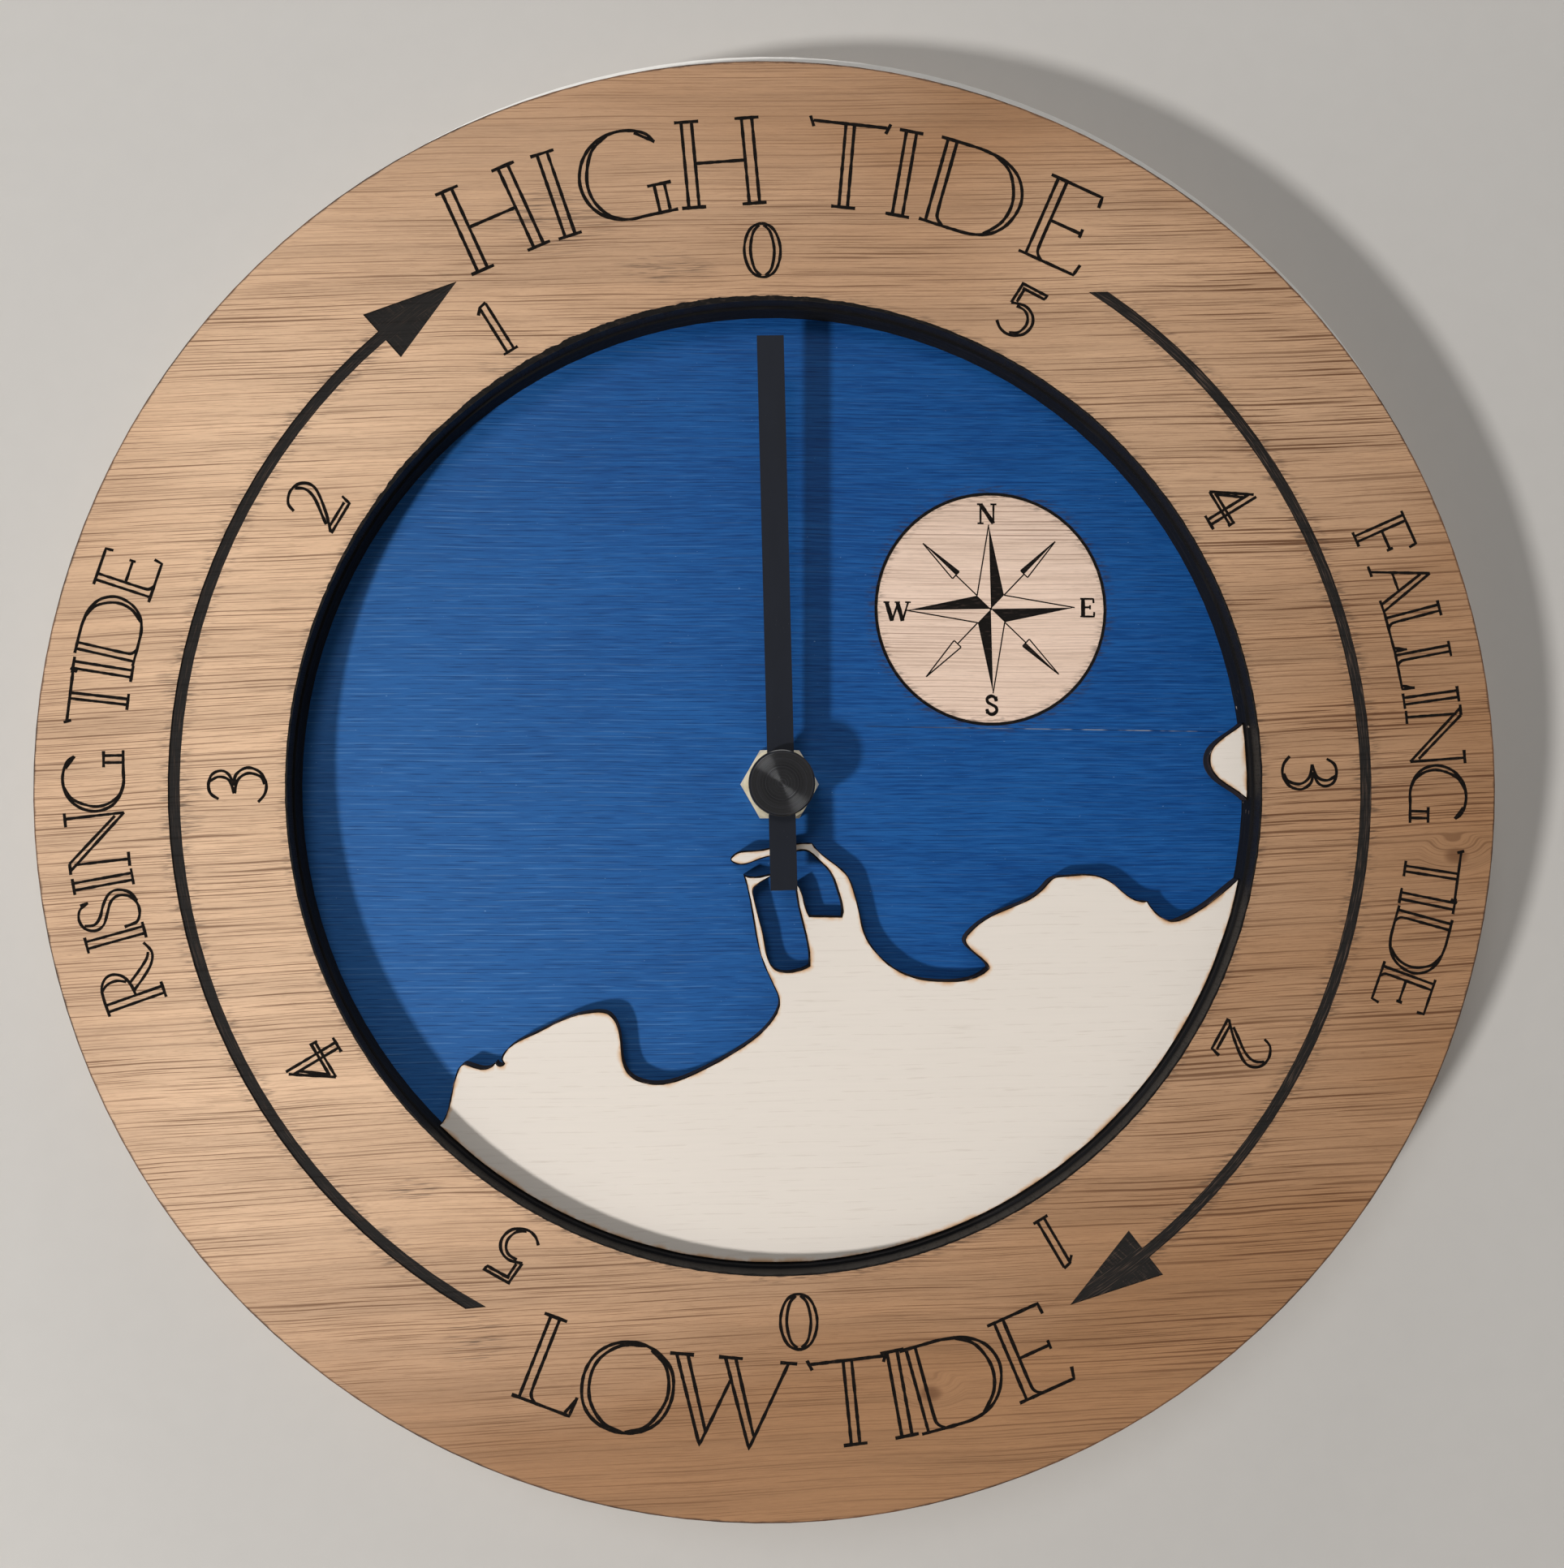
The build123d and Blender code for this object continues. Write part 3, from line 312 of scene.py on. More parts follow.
def straight_grain(wood, height, pale, deep, line, strength, thickness=0.18):
    """Straight-grained wood: its colour, its relief and its dark lines."""
    band = wood.blotches(120, 8, 5, 3.0, 0.6, height)
    colour = wood.mix(wood.step(band, 0.30, 0.72), pale, deep)
    fibre = wood.blotches(3.2, 1.5, 0.2, 3.0, 0.7, height)
    colour = wood.lighten(colour, 0.84 + fibre * 0.32)
    soft = wood.step(wood.blotches(24, 1.2, 0.5, 2.0, 0.55, height), 0.50, 0.70)
    wide = grain_lines(wood, height, 1.2, thickness, 30.0, 1.7)
    fine = grain_lines(wood, height, 0.6, 0.11, 15.0, 5.3)
    pores = wood.step(wood.blotches(2.4, 1, 0.15, 1.0, 0.5, height), 0.58, 0.74)
    patches = wood.step(wood.noise(wood.x / 45 + 2.0, wood.y / 5, height / 12 + 5.0, 1.0), 0.32, 0.60)
    lines = wood.larger(wide * (0.55 + patches * 0.45), fine * (0.35 + patches * 0.45))
    lines = wood.larger(lines, soft * 0.24 + pores * 0.26)
    return wood.mix(lines * strength, colour, line), fibre * 0.35 - lines, lines


def plies(wood, thickness, dark, pale):
    """Layers that show on a cut edge."""
    layers = wood.noise(wood.x / 30, wood.front / thickness, wood.z / 30, 1.0)
    return wood.mix(wood.step(layers, 0.42, 0.58), dark, pale)


def ring_tone_and_painted_shade(wood, outer_strips):
    """Share of the deep brown, which grows to the right, the top and the bottom; the growth to the right is
    partly painted shade, partly the wood's own tone.
    """
    # Painted shade: the rise with x darkens the ring towards the right, partly standing in for the light
    # that falls from the left.
    tone = 0.44 + wood.x * 0.0033 + wood.step(abs(wood.z), 60.0, 110.0) * 0.18 + outer_strips * 0.22
    tone = tone + (wood.blotches(60, 1, 18) - 0.5) * 0.4
    tone = tone + wood.step(wood.z, -70.0, -145.0) * 0.35 + wood.step(wood.x, -108.0, -150.0) * 0.40
    tone = tone - wood.spot(100.0, 102.0, 75.0) * 0.30
    return wood.maths("MINIMUM", wood.larger(tone, 0.0), 1.1)


def ring_grain(wood, height, colours):
    """Grain of the front ring, darker at the right partly by painted shade, with its knots."""
    outer_strips = wood.step(abs(wood.z), 108.0, 145.0)
    right_side = wood.step(wood.x, 40.0, 120.0)
    base = wood.mix(ring_tone_and_painted_shade(wood, outer_strips), colours.ring_wood, colours.ring_wood_deep_and_shaded)
    colour, relief, lines = straight_grain(
        wood, height, base, wood.lighten(base, 0.82), colours.ring_grain,
        0.76 + right_side * 0.16 - outer_strips * 0.26, 0.18 + right_side * 0.12)
    for x, z, radius in ring_knots:
        colour = wood.mix(wood.spot(x, z, radius, 1.5) * 0.7, colour, colours.ring_grain)
    return colour, relief, lines


def ring_soot(wood, height, colour, radius):
    """Soot on the ring's wood, and hairs of it beside the arrows and the opening."""
    streaks = wood.step(wood.blotches(8, 2, 0.26, 2.0, 0.6, height), 0.53, 0.62)
    soot = 0.0
    for x, z, size, flatness in soot_places:
        soot = wood.larger(soot, wood.spot(x, z, size, flatness))
    colour = wood.mix(soot * streaks * 0.6, colour, linear(44, 34, 30))
    near_arc = wood.step(abs(radius - arrow_radius), arrow_half_width * 3, arrow_half_width)
    near_arc = near_arc * wood.step(abs(wood.x), 60.0, 80.0)
    near_edge = wood.step(radius, opening_radius + 2.6, opening_radius + 0.4)
    hairs = wood.blotches(3.5, 1, 0.35, 2.0, 0.6, height)
    singed = wood.larger(near_arc, near_edge) * wood.step(hairs, 0.48, 0.66)
    return wood.mix(singed * 0.62, colour, linear(52, 38, 30))


def arrow_floor(wood, colours, radius):
    """Floor of the burnt arrows: where it is, its flecks of ash and its colour."""
    floor = wood.within(radius, *arrow_zone, 0.5) * wood.within(
        wood.front, ring_face - engraving_depth - 0.1, ring_face - 0.12, 0.03)
    turn = wood.maths("ARCTAN2", wood.x, wood.z)
    along = wood.noise(turn * 18.0, wood.y, radius / 0.24, 2.0, 0.7)
    hatch = wood.noise((wood.x + wood.z) / 0.7, wood.y, (wood.z - wood.x) / 6.0)
    head = wood.step(abs(radius - arrow_radius), arrow_half_width + 0.2, arrow_half_width + 0.5)
    flecks = wood.step(along * (1.0 - head * 0.6) + hatch * head * 0.6, 0.50, 0.74)
    pale_share = flecks * (0.45 + wood.step(wood.x, -60.0, 60.0) * 0.55)
    return floor, flecks, wood.mix(pale_share, colours.burnt, linear(86, 70, 60))


def ring_edges(wood, colours, colour, radius):
    """A ragged brown line and plies at the ring's edges, and char inside its opening."""
    ragged = wood.blotches(2.2, 1, 2.2, 3.0)
    edge_line = wood.step(radius + ragged * 0.9, ring_radius - 0.05, ring_radius + 0.4)
    colour = wood.mix(edge_line * 0.8, colour, linear(66, 46, 34))
    rim = wood.larger(wood.step(radius, ring_radius - 0.35, ring_radius - 0.1),
                      wood.step(radius, opening_radius + 0.3, opening_radius + 0.1))
    colour = wood.mix(rim, colour, plies(wood, 0.55, linear(58, 38, 26), linear(96, 64, 42)))
    inner = wood.step(radius, opening_radius + 0.4, opening_radius + 0.1)
    return wood.mix(inner, colour, colours.burnt)


def ring_wood_finish(colours):
    """Brown straight-grained front ring with burnt arrows, edges and soot."""
    wood = Finish("ring_wood", roughness=0.62, specular=0.3)
    radius = wood.distance()
    height = grain_height(wood, 0.029)
    for x, z, size in ring_knots:
        height = height + wood.spot(x, z, size * 2.6, 1.6) * 2.2
    colour, relief, lines = ring_grain(wood, height, colours)
    colour = ring_soot(wood, height, colour, radius)
    floor, flecks, ash = arrow_floor(wood, colours, radius)
    colour = ring_edges(wood, colours, wood.mix(floor, colour, ash), radius)
    wood.bump(relief * (1.0 - floor) + flecks * floor * 2.0, 0.05, 0.6)
    return wood.finish(colour, 0.58 + lines * 0.15 + floor * 0.25)


def sea_paint(wood, height, ridge, fine, colours):
    """Brushed blue paint, with painted light and a painted sheen at the lower left, combed lines and one
    crack in it.
    """
    cloud = wood.blotches(35, 1, 18, 3.0)
    tone = wood.step(ridge * 0.45 + fine * 0.35 + cloud * 0.20, 0.36, 0.62)
    paint = wood.mix(tone, colours.sea_deep, colours.sea)
    # Painted light and painted sheen: the blue turns paler and greyer towards the lower left.
    painted_light_and_sheen = wood.step(wood.x + wood.z * 0.35, 40.0, -95.0)
    paint = wood.mix(painted_light_and_sheen * 0.45, paint, colours.sea_painted_light_and_sheen)
    pores = grain_lines(wood, height, 0.9, 0.16, 6.0, 2.9)
    paint = wood.mix(pores * 0.45, paint, linear(2, 36, 82))
    combed = grain_lines(wood, height + 0.31, 1.3, 0.15, 7.0, 8.1)
    # The pale combed lines show most at the lower left, where they carry the painted sheen.
    paint = wood.mix(combed * 0.40 * (0.25 + painted_light_and_sheen * 0.75), paint, linear(88, 134, 186))
    specks = wood.step(wood.noise(wood.x / 0.9 + 4.0, wood.y, height / 0.35, 1.0), 0.78, 0.83)
    paint = wood.mix(specks * 0.5, paint, linear(120, 160, 205))
    along_crack = wood.within(wood.x, 20.0, 93.0, 3.0)
    crack = along_crack * wood.within(wood.z + wood.x * 0.012 - 12.6, -0.09, 0.09, 0.05)
    paint = wood.mix(crack * 0.7, paint, linear(4, 26, 62))
    chipped = wood.step(wood.noise(wood.x / 6, wood.y, 0.0), 0.40, 0.56) * wood.step(wood.x, 15.0, 80.0)
    return wood.mix(crack * chipped * 0.4, paint, linear(186, 192, 198))


def compass_burn(wood, height, colours, across, colour):
    """Ash in the engraved round and rose, with a singed halo: where it is engraved, and the colour."""
    engraved = wood.step(across, compass_radius + 0.5, compass_radius + 0.2) * wood.step(
        wood.front, sea_face - 0.06, sea_face - 0.14)
    ash = wood.mix(wood.step(wood.blotches(2.5, 1, 0.4), 0.55, 0.75), colours.burnt, linear(52, 42, 38))
    colour = wood.mix(engraved, colour, ash)
    ragged = wood.blotches(0.8, 1, 0.8)
    halo = wood.within(across + ragged * 0.5, compass_radius - 0.4, compass_radius + 0.25, 0.25) * 0.4
    hairs = wood.step(wood.blotches(3.0, 1, 0.4, 2.0, 0.6, height), 0.48, 0.64)
    singed = wood.step(abs(across - compass_radius), 2.8, 0.4) * hairs * 0.6
    burnt_round = wood.larger(halo, singed) * (1.0 - engraved)
    return engraved, wood.mix(burnt_round, colour, linear(46, 34, 30))


def board_back(wood, height):
    """Plain wood behind the sea board, with plies round its edge."""
    back_wood = straight_grain(
        wood, height, linear(208, 182, 150), linear(190, 160, 126), linear(150, 112, 78), 0.5)[0]
    cut_edge = wood.step(wood.distance(), board_radius - 0.25, board_radius - 0.05)
    return wood.mix(cut_edge, back_wood, plies(wood, 0.6, linear(52, 36, 26), linear(92, 64, 44)))


def sea_board_finish(colours):
    """Brushed blue paint over fine grain, with a bare round under the burnt compass rose."""
    wood = Finish("sea_paint", roughness=0.55, specular=0.15)
    height = grain_height(wood) + 40.0
    ridge = wood.blotches(14, 1, 0.45, 3.0, 0.6, height)
    fine = wood.blotches(5, 1, 0.22, 2.0, 0.6, height)
    grain, relief = straight_grain(
        wood, height * 1.15, colours.bare_wood, linear(220, 193, 173), linear(112, 78, 60), 0.62)[:2]
    across = wood.distance(*compass_middle)
    bare = wood.step(across, compass_radius - 0.2, compass_radius - 0.45)
    colour = wood.mix(bare, sea_paint(wood, height, ridge, fine, colours), grain)
    engraved, colour = compass_burn(wood, height, colours, across, colour)
    behind = wood.step(wood.front, sea_face - 0.35, sea_face - 0.5)
    colour = wood.mix(behind, colour, board_back(wood, height))
    wood.bump(ridge * 0.8 + fine * 0.3 + relief * bare * 0.3, 0.09, 0.7)
    return wood.finish(colour, 0.42 + fine * 0.2 + bare * 0.18 + engraved * 0.2)


def washed_wood(wood, colours):
    """Pale wash of the coast, with hardly any grain showing, and its fine relief."""
    height = grain_height(wood, 0.012)
    fibre = wood.blotches(18, 1, 0.6, 3.0, 0.6, height)
    streak = wood.step(wood.noise(wood.x / 11 + 5.0, wood.y, height / 0.45), 0.62, 0.74)
    cloud = wood.blotches(50, 50, 30, 3.0)
    colour = wood.lighten(colours.land, 0.955 + fibre * 0.06 + cloud * 0.04)
    ticks = grain_lines(wood, height, 2.6, 0.16, 4.0, 3.3)
    colour = wood.mix(streak * 0.20 + ticks * 0.18, colour, linear(176, 160, 144))
    return colour, fibre


def land_finish(colours):
    """Pale washed wood with black laser-cut sides."""
    wood = Finish("pale_wood", roughness=0.6, specular=0.3)
    colour, fibre = washed_wood(wood, colours)
    side = wood.step(wood.front, land_face - 0.03, land_face - 0.12)
    layers = wood.noise(wood.x / 12, wood.front / 0.7, wood.z / 12)
    burnt_side = wood.mix(wood.step(layers, 0.45, 0.65), colours.burnt, linear(48, 33, 26))
    colour = wood.mix(side, colour, burnt_side)
    wood.bump(fibre, 0.04, 0.5)
    return wood.finish(colour, 0.5 + fibre * 0.15 + side * 0.15)


def fringe_finish(colours):
    """Scorch that fades from the cut edge into the washed wood."""
    wood = Finish("scorch_fringe", roughness=0.6, specular=0.3)
    colour, fibre = washed_wood(wood, colours)
    across = wood.node("ShaderNodeUVMap", {"uv_map": fringe_map})
    parts = wood.node("ShaderNodeSeparateXYZ", {}, {"Vector": across.outputs["UV"]})
    inward = Signal(wood, parts.outputs["X"])
    reach = wood.step(wood.blotches(5, 1, 5, 3.0, 0.6), 0.30, 0.66) * 0.7 + 0.3
    toasted = wood.step(inward, reach, 0.0)
    colour = wood.mix(toasted * (0.35 + reach * 0.6), colour, colours.scorch)
    brown = wood.step(inward, reach * 0.45, 0.0)
    colour = wood.mix(brown * 0.75, colour, linear(104, 66, 42))
    wood.bump(fibre, 0.04, 0.5)
    return wood.finish(colour, 0.5 + fibre * 0.15)


def spacer_finish(colours):
    """Matte black inside the opening, white on the outer edge."""
    paint = Finish("spacer_paint", roughness=0.6, specular=0.1)
    radius = paint.distance()
    grit = paint.grit(0.9, 3.0)
    layers = paint.blotches(14, 0.7, 14)
    dark = paint.mix(paint.step(layers, 0.48, 0.75) * 0.35, colours.spacer_black, linear(44, 42, 44))
    chips = paint.step(paint.blotches(1.6, 0.8, 1.6), 0.66, 0.72)
    chipped = paint.spot(98.5, 12.0, 9.0) + paint.spot(99.0, -2.0, 6.0) * 0.5
    dark = paint.mix(chips * chipped * 0.8, dark, linear(196, 176, 160))
    white = paint.lighten(colours.spacer_white, 0.92 + grit * 0.12)
    outside = paint.step(radius, opening_radius + 10.0, opening_radius + 12.0)
    colour = paint.mix(outside, dark, white)
    paint.bump(grit * 0.5 + layers * 0.6, 0.08, 0.6)
    return paint.finish(colour, 0.55 + grit * 0.2)


def lettering_finish(colours):
    """Burnt crust of the letters and charred edges."""
    crust = Finish("burnt_crust", roughness=0.8, specular=0.06)
    grit = crust.blotches(0.8, 0.8, 0.5, 3.0)
    colour = crust.mix(crust.step(grit, 0.52, 0.78) * 0.5, colours.burnt, linear(54, 41, 33))
    crust.bump(grit, 0.05, 0.8)
    return crust.finish(colour, 0.7 + grit * 0.2)


def char_finish():
    """Charred, slightly shiny rim of the opening."""
    crust = Finish("charred_rim", roughness=0.6, specular=0.08)
    grit = crust.blotches(1.6, 1.6, 0.9, 4.0, 0.6)
    colour = crust.mix(crust.step(grit, 0.52, 0.74) * 0.5, linear(17, 15, 14), linear(62, 52, 45))
    crust.bump(grit, 0.12, 0.9)
    return crust.finish(colour, 0.45 + grit * 0.3)


# Metal and paint of the hand and its fixings
def hand_finish(colours):
    paint = Finish("hand_paint", roughness=0.5, specular=0.15)
    grit = paint.grit(0.5, 3.0)
    cloud = paint.blotches(3, 1, 12)
    colour = paint.lighten(colours.hand, 0.85 + cloud * 0.3)
    dust = paint.step(paint.blotches(0.35, 1, 0.35, 1.0), 0.78, 0.84)
    colour = paint.mix(dust * 0.35, colour, linear(150, 152, 158))
    paint.bump(grit, 0.015, 0.5)
    return paint.finish(colour, 0.42 + grit * 0.15)


def cap_finish(colours):
    """Turned and blackened: fine rings whose slopes catch the light in one line across the cap."""
    metal = Finish("cap_black", roughness=0.15, specular=0.35)
    radius = metal.distance()
    rings = metal.maths("SINE", radius * (2 * math.pi / 0.32))
    grit = metal.noise(radius / 0.12, metal.y, metal.y, 1.0)
    colour = metal.mix(metal.step(grit, 0.4, 0.7), colours.cap, linear(30, 30, 34))
    metal.bump(rings * 0.5 + grit * 0.3, 0.026, 1.0)
    return metal.finish(colour, 0.11 + grit * 0.05)


def metal_finish(name, colour, roughness, tint, streak=1.0, metallic=1.0):
    """Worn bright metal with soft blotches."""
    metal = Finish(name, metallic=metallic, roughness=roughness)
    scratch = metal.blotches(0.3 * streak, 0.3, 3)
    shade = metal.mix(metal.step(metal.grit(2.5, 3.0), 0.4, 0.75) * 0.6, colour, tint)
    metal.bump(scratch, 0.01, 0.5)
    return metal.finish(shade, roughness - 0.06 + scratch * 0.14)


def plastic_finish(name, colour, roughness, grain=0.25, depth=0.02):
    """Moulded plastic or rubber with a fine grain."""
    plastic = Finish(name, roughness=roughness)
    grit = plastic.grit(grain)
    shade = plastic.lighten(colour, 0.92 + plastic.grit(14) * 0.16)
    plastic.bump(grit, depth, 0.6)
    return plastic.finish(shade, roughness - 0.05 + grit * 0.12)


def winding_finish():
    copper = Finish("coil_copper", metallic=0.9, roughness=0.35)
    turns = copper.maths("SINE", copper.z * (2 * math.pi / 0.16))
    uneven = copper.blotches(1, 1, 0.5)
    lit = copper.step(turns + uneven - 0.5, -0.4, 0.6)
    colour = copper.mix(lit, linear(120, 58, 28), linear(214, 130, 78))
    copper.bump(turns, 0.05, 0.9)
    return copper.finish(colour, 0.3 + uneven * 0.15)


def battery_finish():
    """Plain jacket with a pale band, between bright steel ends."""
    shell = Finish("battery_jacket", roughness=0.35)
    left, right = (corner.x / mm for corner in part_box("battery"))
    jacket = shell.within(shell.x, left + 0.9, right - 1.9, 0.05)
    band = shell.within(shell.x, right - 13.0, right - 11.0, 0.05)
    grit = shell.grit(1.5)
    print_colour = shell.mix(band, linear(52, 74, 82), linear(196, 202, 200))
    colour = shell.mix(jacket, linear(190, 190, 188), shell.lighten(print_colour, 0.94 + grit * 0.12))
    feed(shell.tree, shell.shader.inputs["Metallic"], 1.0 - jacket * 0.85)
    shell.bump(grit, 0.01, 0.4)
    return shell.finish(colour, 0.28 + grit * 0.12)


# Letterforms, in hundredths of the cap height: x is from the middle of the letter, y from its foot.
heavy_gap = 12
serif_half = 14


def line(*points):
    """Stroke with straight runs."""
    return (False, points)


def curve(*points):
    """Stroke that bends smoothly through its points."""
    return (True, points)


def stem(x, top=100, gap=heavy_gap):
    """Upright heavy stroke, burnt as two thin lines."""
    half = gap / 2
    return [line((x - half, 0), (x - half, top)), line((x + half, 0), (x + half, top))]


def serif(x, y, half=serif_half):
    return line((x - half, y), (x + half, y))


def curved_stem(x):
    """Heavy upright whose inner line bends into the foot."""
    inner = curve((x + 11, 100), (x + 11, 60), (x + 11, 17), (x + 13, 6), (x + 20, 0))
    return [line((x, 100), (x, 0)), inner]


letter_strokes = {
    "H": stem(-35) + stem(35) + [
        serif(-35, 0), serif(-35, 100), serif(35, 0), serif(35, 100),
        line((-29, 51), (29, 51))],
    "I": stem(0) + [serif(0, 0), serif(0, 100)],
    "G": [
        curve((40, 83), (33, 93), (18, 100), (-3, 102), (-27, 95), (-46, 76), (-54, 50), (-48, 25),
              (-32, 8), (-8, 0), (15, 0), (50, 0)),
        curve((-12, 100), (-33, 85), (-45, 55), (-43, 30), (-30, 10), (-14, 1)), line((20, 97), (41, 82)),
        line((29, 2), (29, 32)), line((41, 2), (41, 32)), serif(35, 33)],
    "T": stem(0, 98, 10) + [
        line((-43, 98), (43, 98)), line((-47, 103), (-42, 91)),
        line((47, 103), (42, 91)), serif(0, 0)],
    "D": curved_stem(-45) + [
        curve((-53, 100), (-20, 100), (2, 99), (28, 93), (48, 78), (57, 53), (50, 26), (34, 8), (12, 0),
              (-15, -1), (-53, 0)),
        curve((12, 98), (35, 83), (47, 53), (42, 25), (24, 4))],
    "E": curved_stem(-28) + [
        line((-37, 98), (28, 98), (29, 85)), line((-17, 48), (22, 48)),
        line((22, 43), (22, 54)), line((-37, 0), (33, 0), (36, 14))],
    "L": curved_stem(-31) + [
        line((-39, 100), (-11, 100)), line((-40, 0), (31, 0), (32, 23)),
        line((25, 2), (32, 20))],
    "O": [
        curve((0, 102), (-27, 95), (-46, 77), (-53, 50), (-46, 21), (-27, 3), (0, -3), (28, 4), (47, 23),
              (53, 50), (46, 78), (27, 95), (0, 102)),
        curve((8, 101), (-20, 94), (-40, 74), (-45, 50), (-38, 24), (-18, 4), (6, -2)),
        curve((10, -1), (33, 12), (46, 40), (46, 62), (36, 84), (16, 98))],
    "W": [
        line((-67, 102), (-31, 0), (-2, 77)), line((-54, 102), (-25, 15)),
        line((-10, 102), (27, 0), (64, 102)), line((2, 102), (31, 15)), serif(-61, 103), serif(-4, 103),
        serif(64, 102, 10)],
    "R": [
        line((-43, 100), (-43, 0)), line((-31, 100), (-31, 0)), serif(-37, 0),
        curve((-51, 100), (-20, 100), (0, 97), (13, 86), (15, 72), (6, 57), (-12, 49), (-31, 47)),
        curve((-6, 98), (2, 86), (3, 70), (-4, 55)),
        curve((-22, 47), (-5, 23), (12, 5), (30, -2), (50, 6)),
        curve((-8, 50), (8, 27), (22, 10), (32, 4))],
    "S": [
        curve((19, 82), (10, 97), (-6, 102), (-22, 96), (-30, 80), (-24, 64), (-5, 53), (13, 43),
              (20, 28), (14, 10), (-2, 0), (-20, 1), (-32, 10), (-34, 28)),
        curve((-18, 95), (-20, 79), (-10, 67), (10, 57), (26, 44), (30, 29), (22, 10), (4, 0)),
        line((17, 95), (19, 81)), line((-35, 30), (-31, 8))],
    "N": [
        line((-36, 92), (-36, 0)), line((44, 100), (44, 0)), line((-46, 100), (44, 0)),
        line((-33, 100), (40, 16)), line((-52, 100), (-33, 100)), serif(-36, 0, 12), serif(42, 100, 12)],
    "F": [
        line((-20, 98), (-20, 0)), line((-9, 98), (-9, 0)), serif(-14, 0),
        line((-28, 98), (36, 98), (38, 84)), line((-9, 50), (27, 50)), line((27, 44), (27, 56))],
    "A": [
        line((0, 103), (-37, 0)), line((0, 103), (38, 0)), line((-4, 86), (25, 0)),
        line((-22, 38), (10, 38)), serif(-38, 0, 10), serif(32, 0, 15)],
    "0": [
        curve((0, 100), (-18, 93), (-29, 75), (-33.5, 50), (-29, 25), (-18, 7), (0, 0), (18, 7), (29, 25),
              (33.5, 50), (29, 75), (18, 93), (0, 100)),
        curve((-4, 97), (-16, 83), (-22, 50), (-16, 17), (-4, 3)),
        curve((4, 97), (16, 83), (22, 50), (16, 17), (4, 3))],
    "1": stem(0, 97, 14) + [line((-16, 85), (-6, 96), (8, 99)), serif(0, 0, 15)],
    "2": [
        curve((-27, 80), (-20, 96), (0, 104), (20, 98), (30, 80), (24, 60), (-2, 27), (-26, 4)),
        curve((10, 100), (18, 82), (12, 60), (-8, 32), (-18, 18)), line((-27, 2), (36, 2), (41, 20)),
        line((-20, 11), (33, 11))],
    "3": [
        curve((-24, 84), (-14, 98), (2, 102), (20, 96), (27, 80), (20, 66), (0, 57)),
        curve((0, 57), (20, 53), (32, 34), (25, 12), (5, 0), (-15, 2), (-30, 14)),
        curve((8, 100), (16, 84), (10, 66), (-14, 56)),
        curve((-14, 56), (10, 50), (22, 32), (16, 10), (2, 2))],
    "4": [
        line((4, 100), (-44, 31)), line((-2, 80), (-34, 38)), line((-44, 31), (29, 31)),
        line((-36, 39), (29, 39)), line((29, 27), (29, 42)), line((-1, 92), (-1, 0)),
        line((10, 102), (10, 0)), serif(5, 0, 15)],
    "5": [
        line((-25, 98), (29, 98), (26, 90), (-19, 90)), line((-22, 98), (-26, 56)),
        line((-15, 90), (-17, 62)),
        curve((-26, 56), (0, 62), (20, 53), (28, 34), (20, 12), (-3, 0), (-22, 3), (-35, 14)),
        curve((-14, 55), (3, 54), (14, 45), (18, 30), (11, 12), (-4, 3))],
}

# Heavy little letters of the compass: for each stroke, its share of the usual width, and the stroke
compass_strokes = {
    "N": [(0.8, line((-34, 0), (-34, 100))), (1.7, line((-34, 100), (34, 0))),
          (0.8, line((34, 0), (34, 100))), (0.7, line((-52, 100), (-22, 100))),
          (0.7, line((-50, 0), (-18, 0))), (0.7, line((18, 100), (50, 100)))],
    "E": [(1.6, line((-24, 0), (-24, 100))), (0.8, line((-40, 100), (34, 100), (36, 76))),
          (0.8, line((-24, 52), (16, 52))), (0.7, line((16, 40), (16, 64))),
          (0.8, line((-40, 0), (38, 0), (40, 26)))],
    "S": [(1.3, curve((28, 74), (16, 96), (-6, 102), (-26, 88), (-22, 66), (2, 52), (24, 38), (28, 16),
                      (8, -2), (-16, 2), (-30, 26))),
          (0.7, line((28, 100), (28, 72))), (0.7, line((-30, 0), (-30, 28)))],
    "W": [(1.7, line((-56, 100), (-26, 0))), (0.8, line((-26, 0), (4, 92))),
          (1.7, line((2, 100), (30, 0))), (0.8, line((30, 0), (60, 100))),
          (0.7, line((-72, 100), (-40, 100))), (0.7, line((44, 100), (74, 100))),
          (0.7, line((-12, 100), (16, 100)))],
}


class Word:
    """Letters on an arc, with sizes in millimetres and places in degrees clockwise from the top."""

    def __init__(self, letters, middle, radius, height, degrees, outward=True):
        self.letters = letters
        self.middle = middle
        self.radius = radius
        self.height = height
        self.degrees = degrees
        self.outward = outward

    def paths(self):
        """The path of every stroke on the dial."""
        turn = 1 if self.outward else -1
        placed = []
        for letter, degrees in zip(self.letters, self.degrees):
            angle = math.radians(degrees)
            x0 = self.middle[0] + self.radius * math.sin(angle)
            z0 = self.middle[1] + self.radius * math.cos(angle)
            up = (turn * math.sin(angle), turn * math.cos(angle))
            for stroke in letter_strokes[letter]:
                placed.append(stroke_path(stroke, x0, z0, self.height, spacing=0.8, up=up))
        return placed


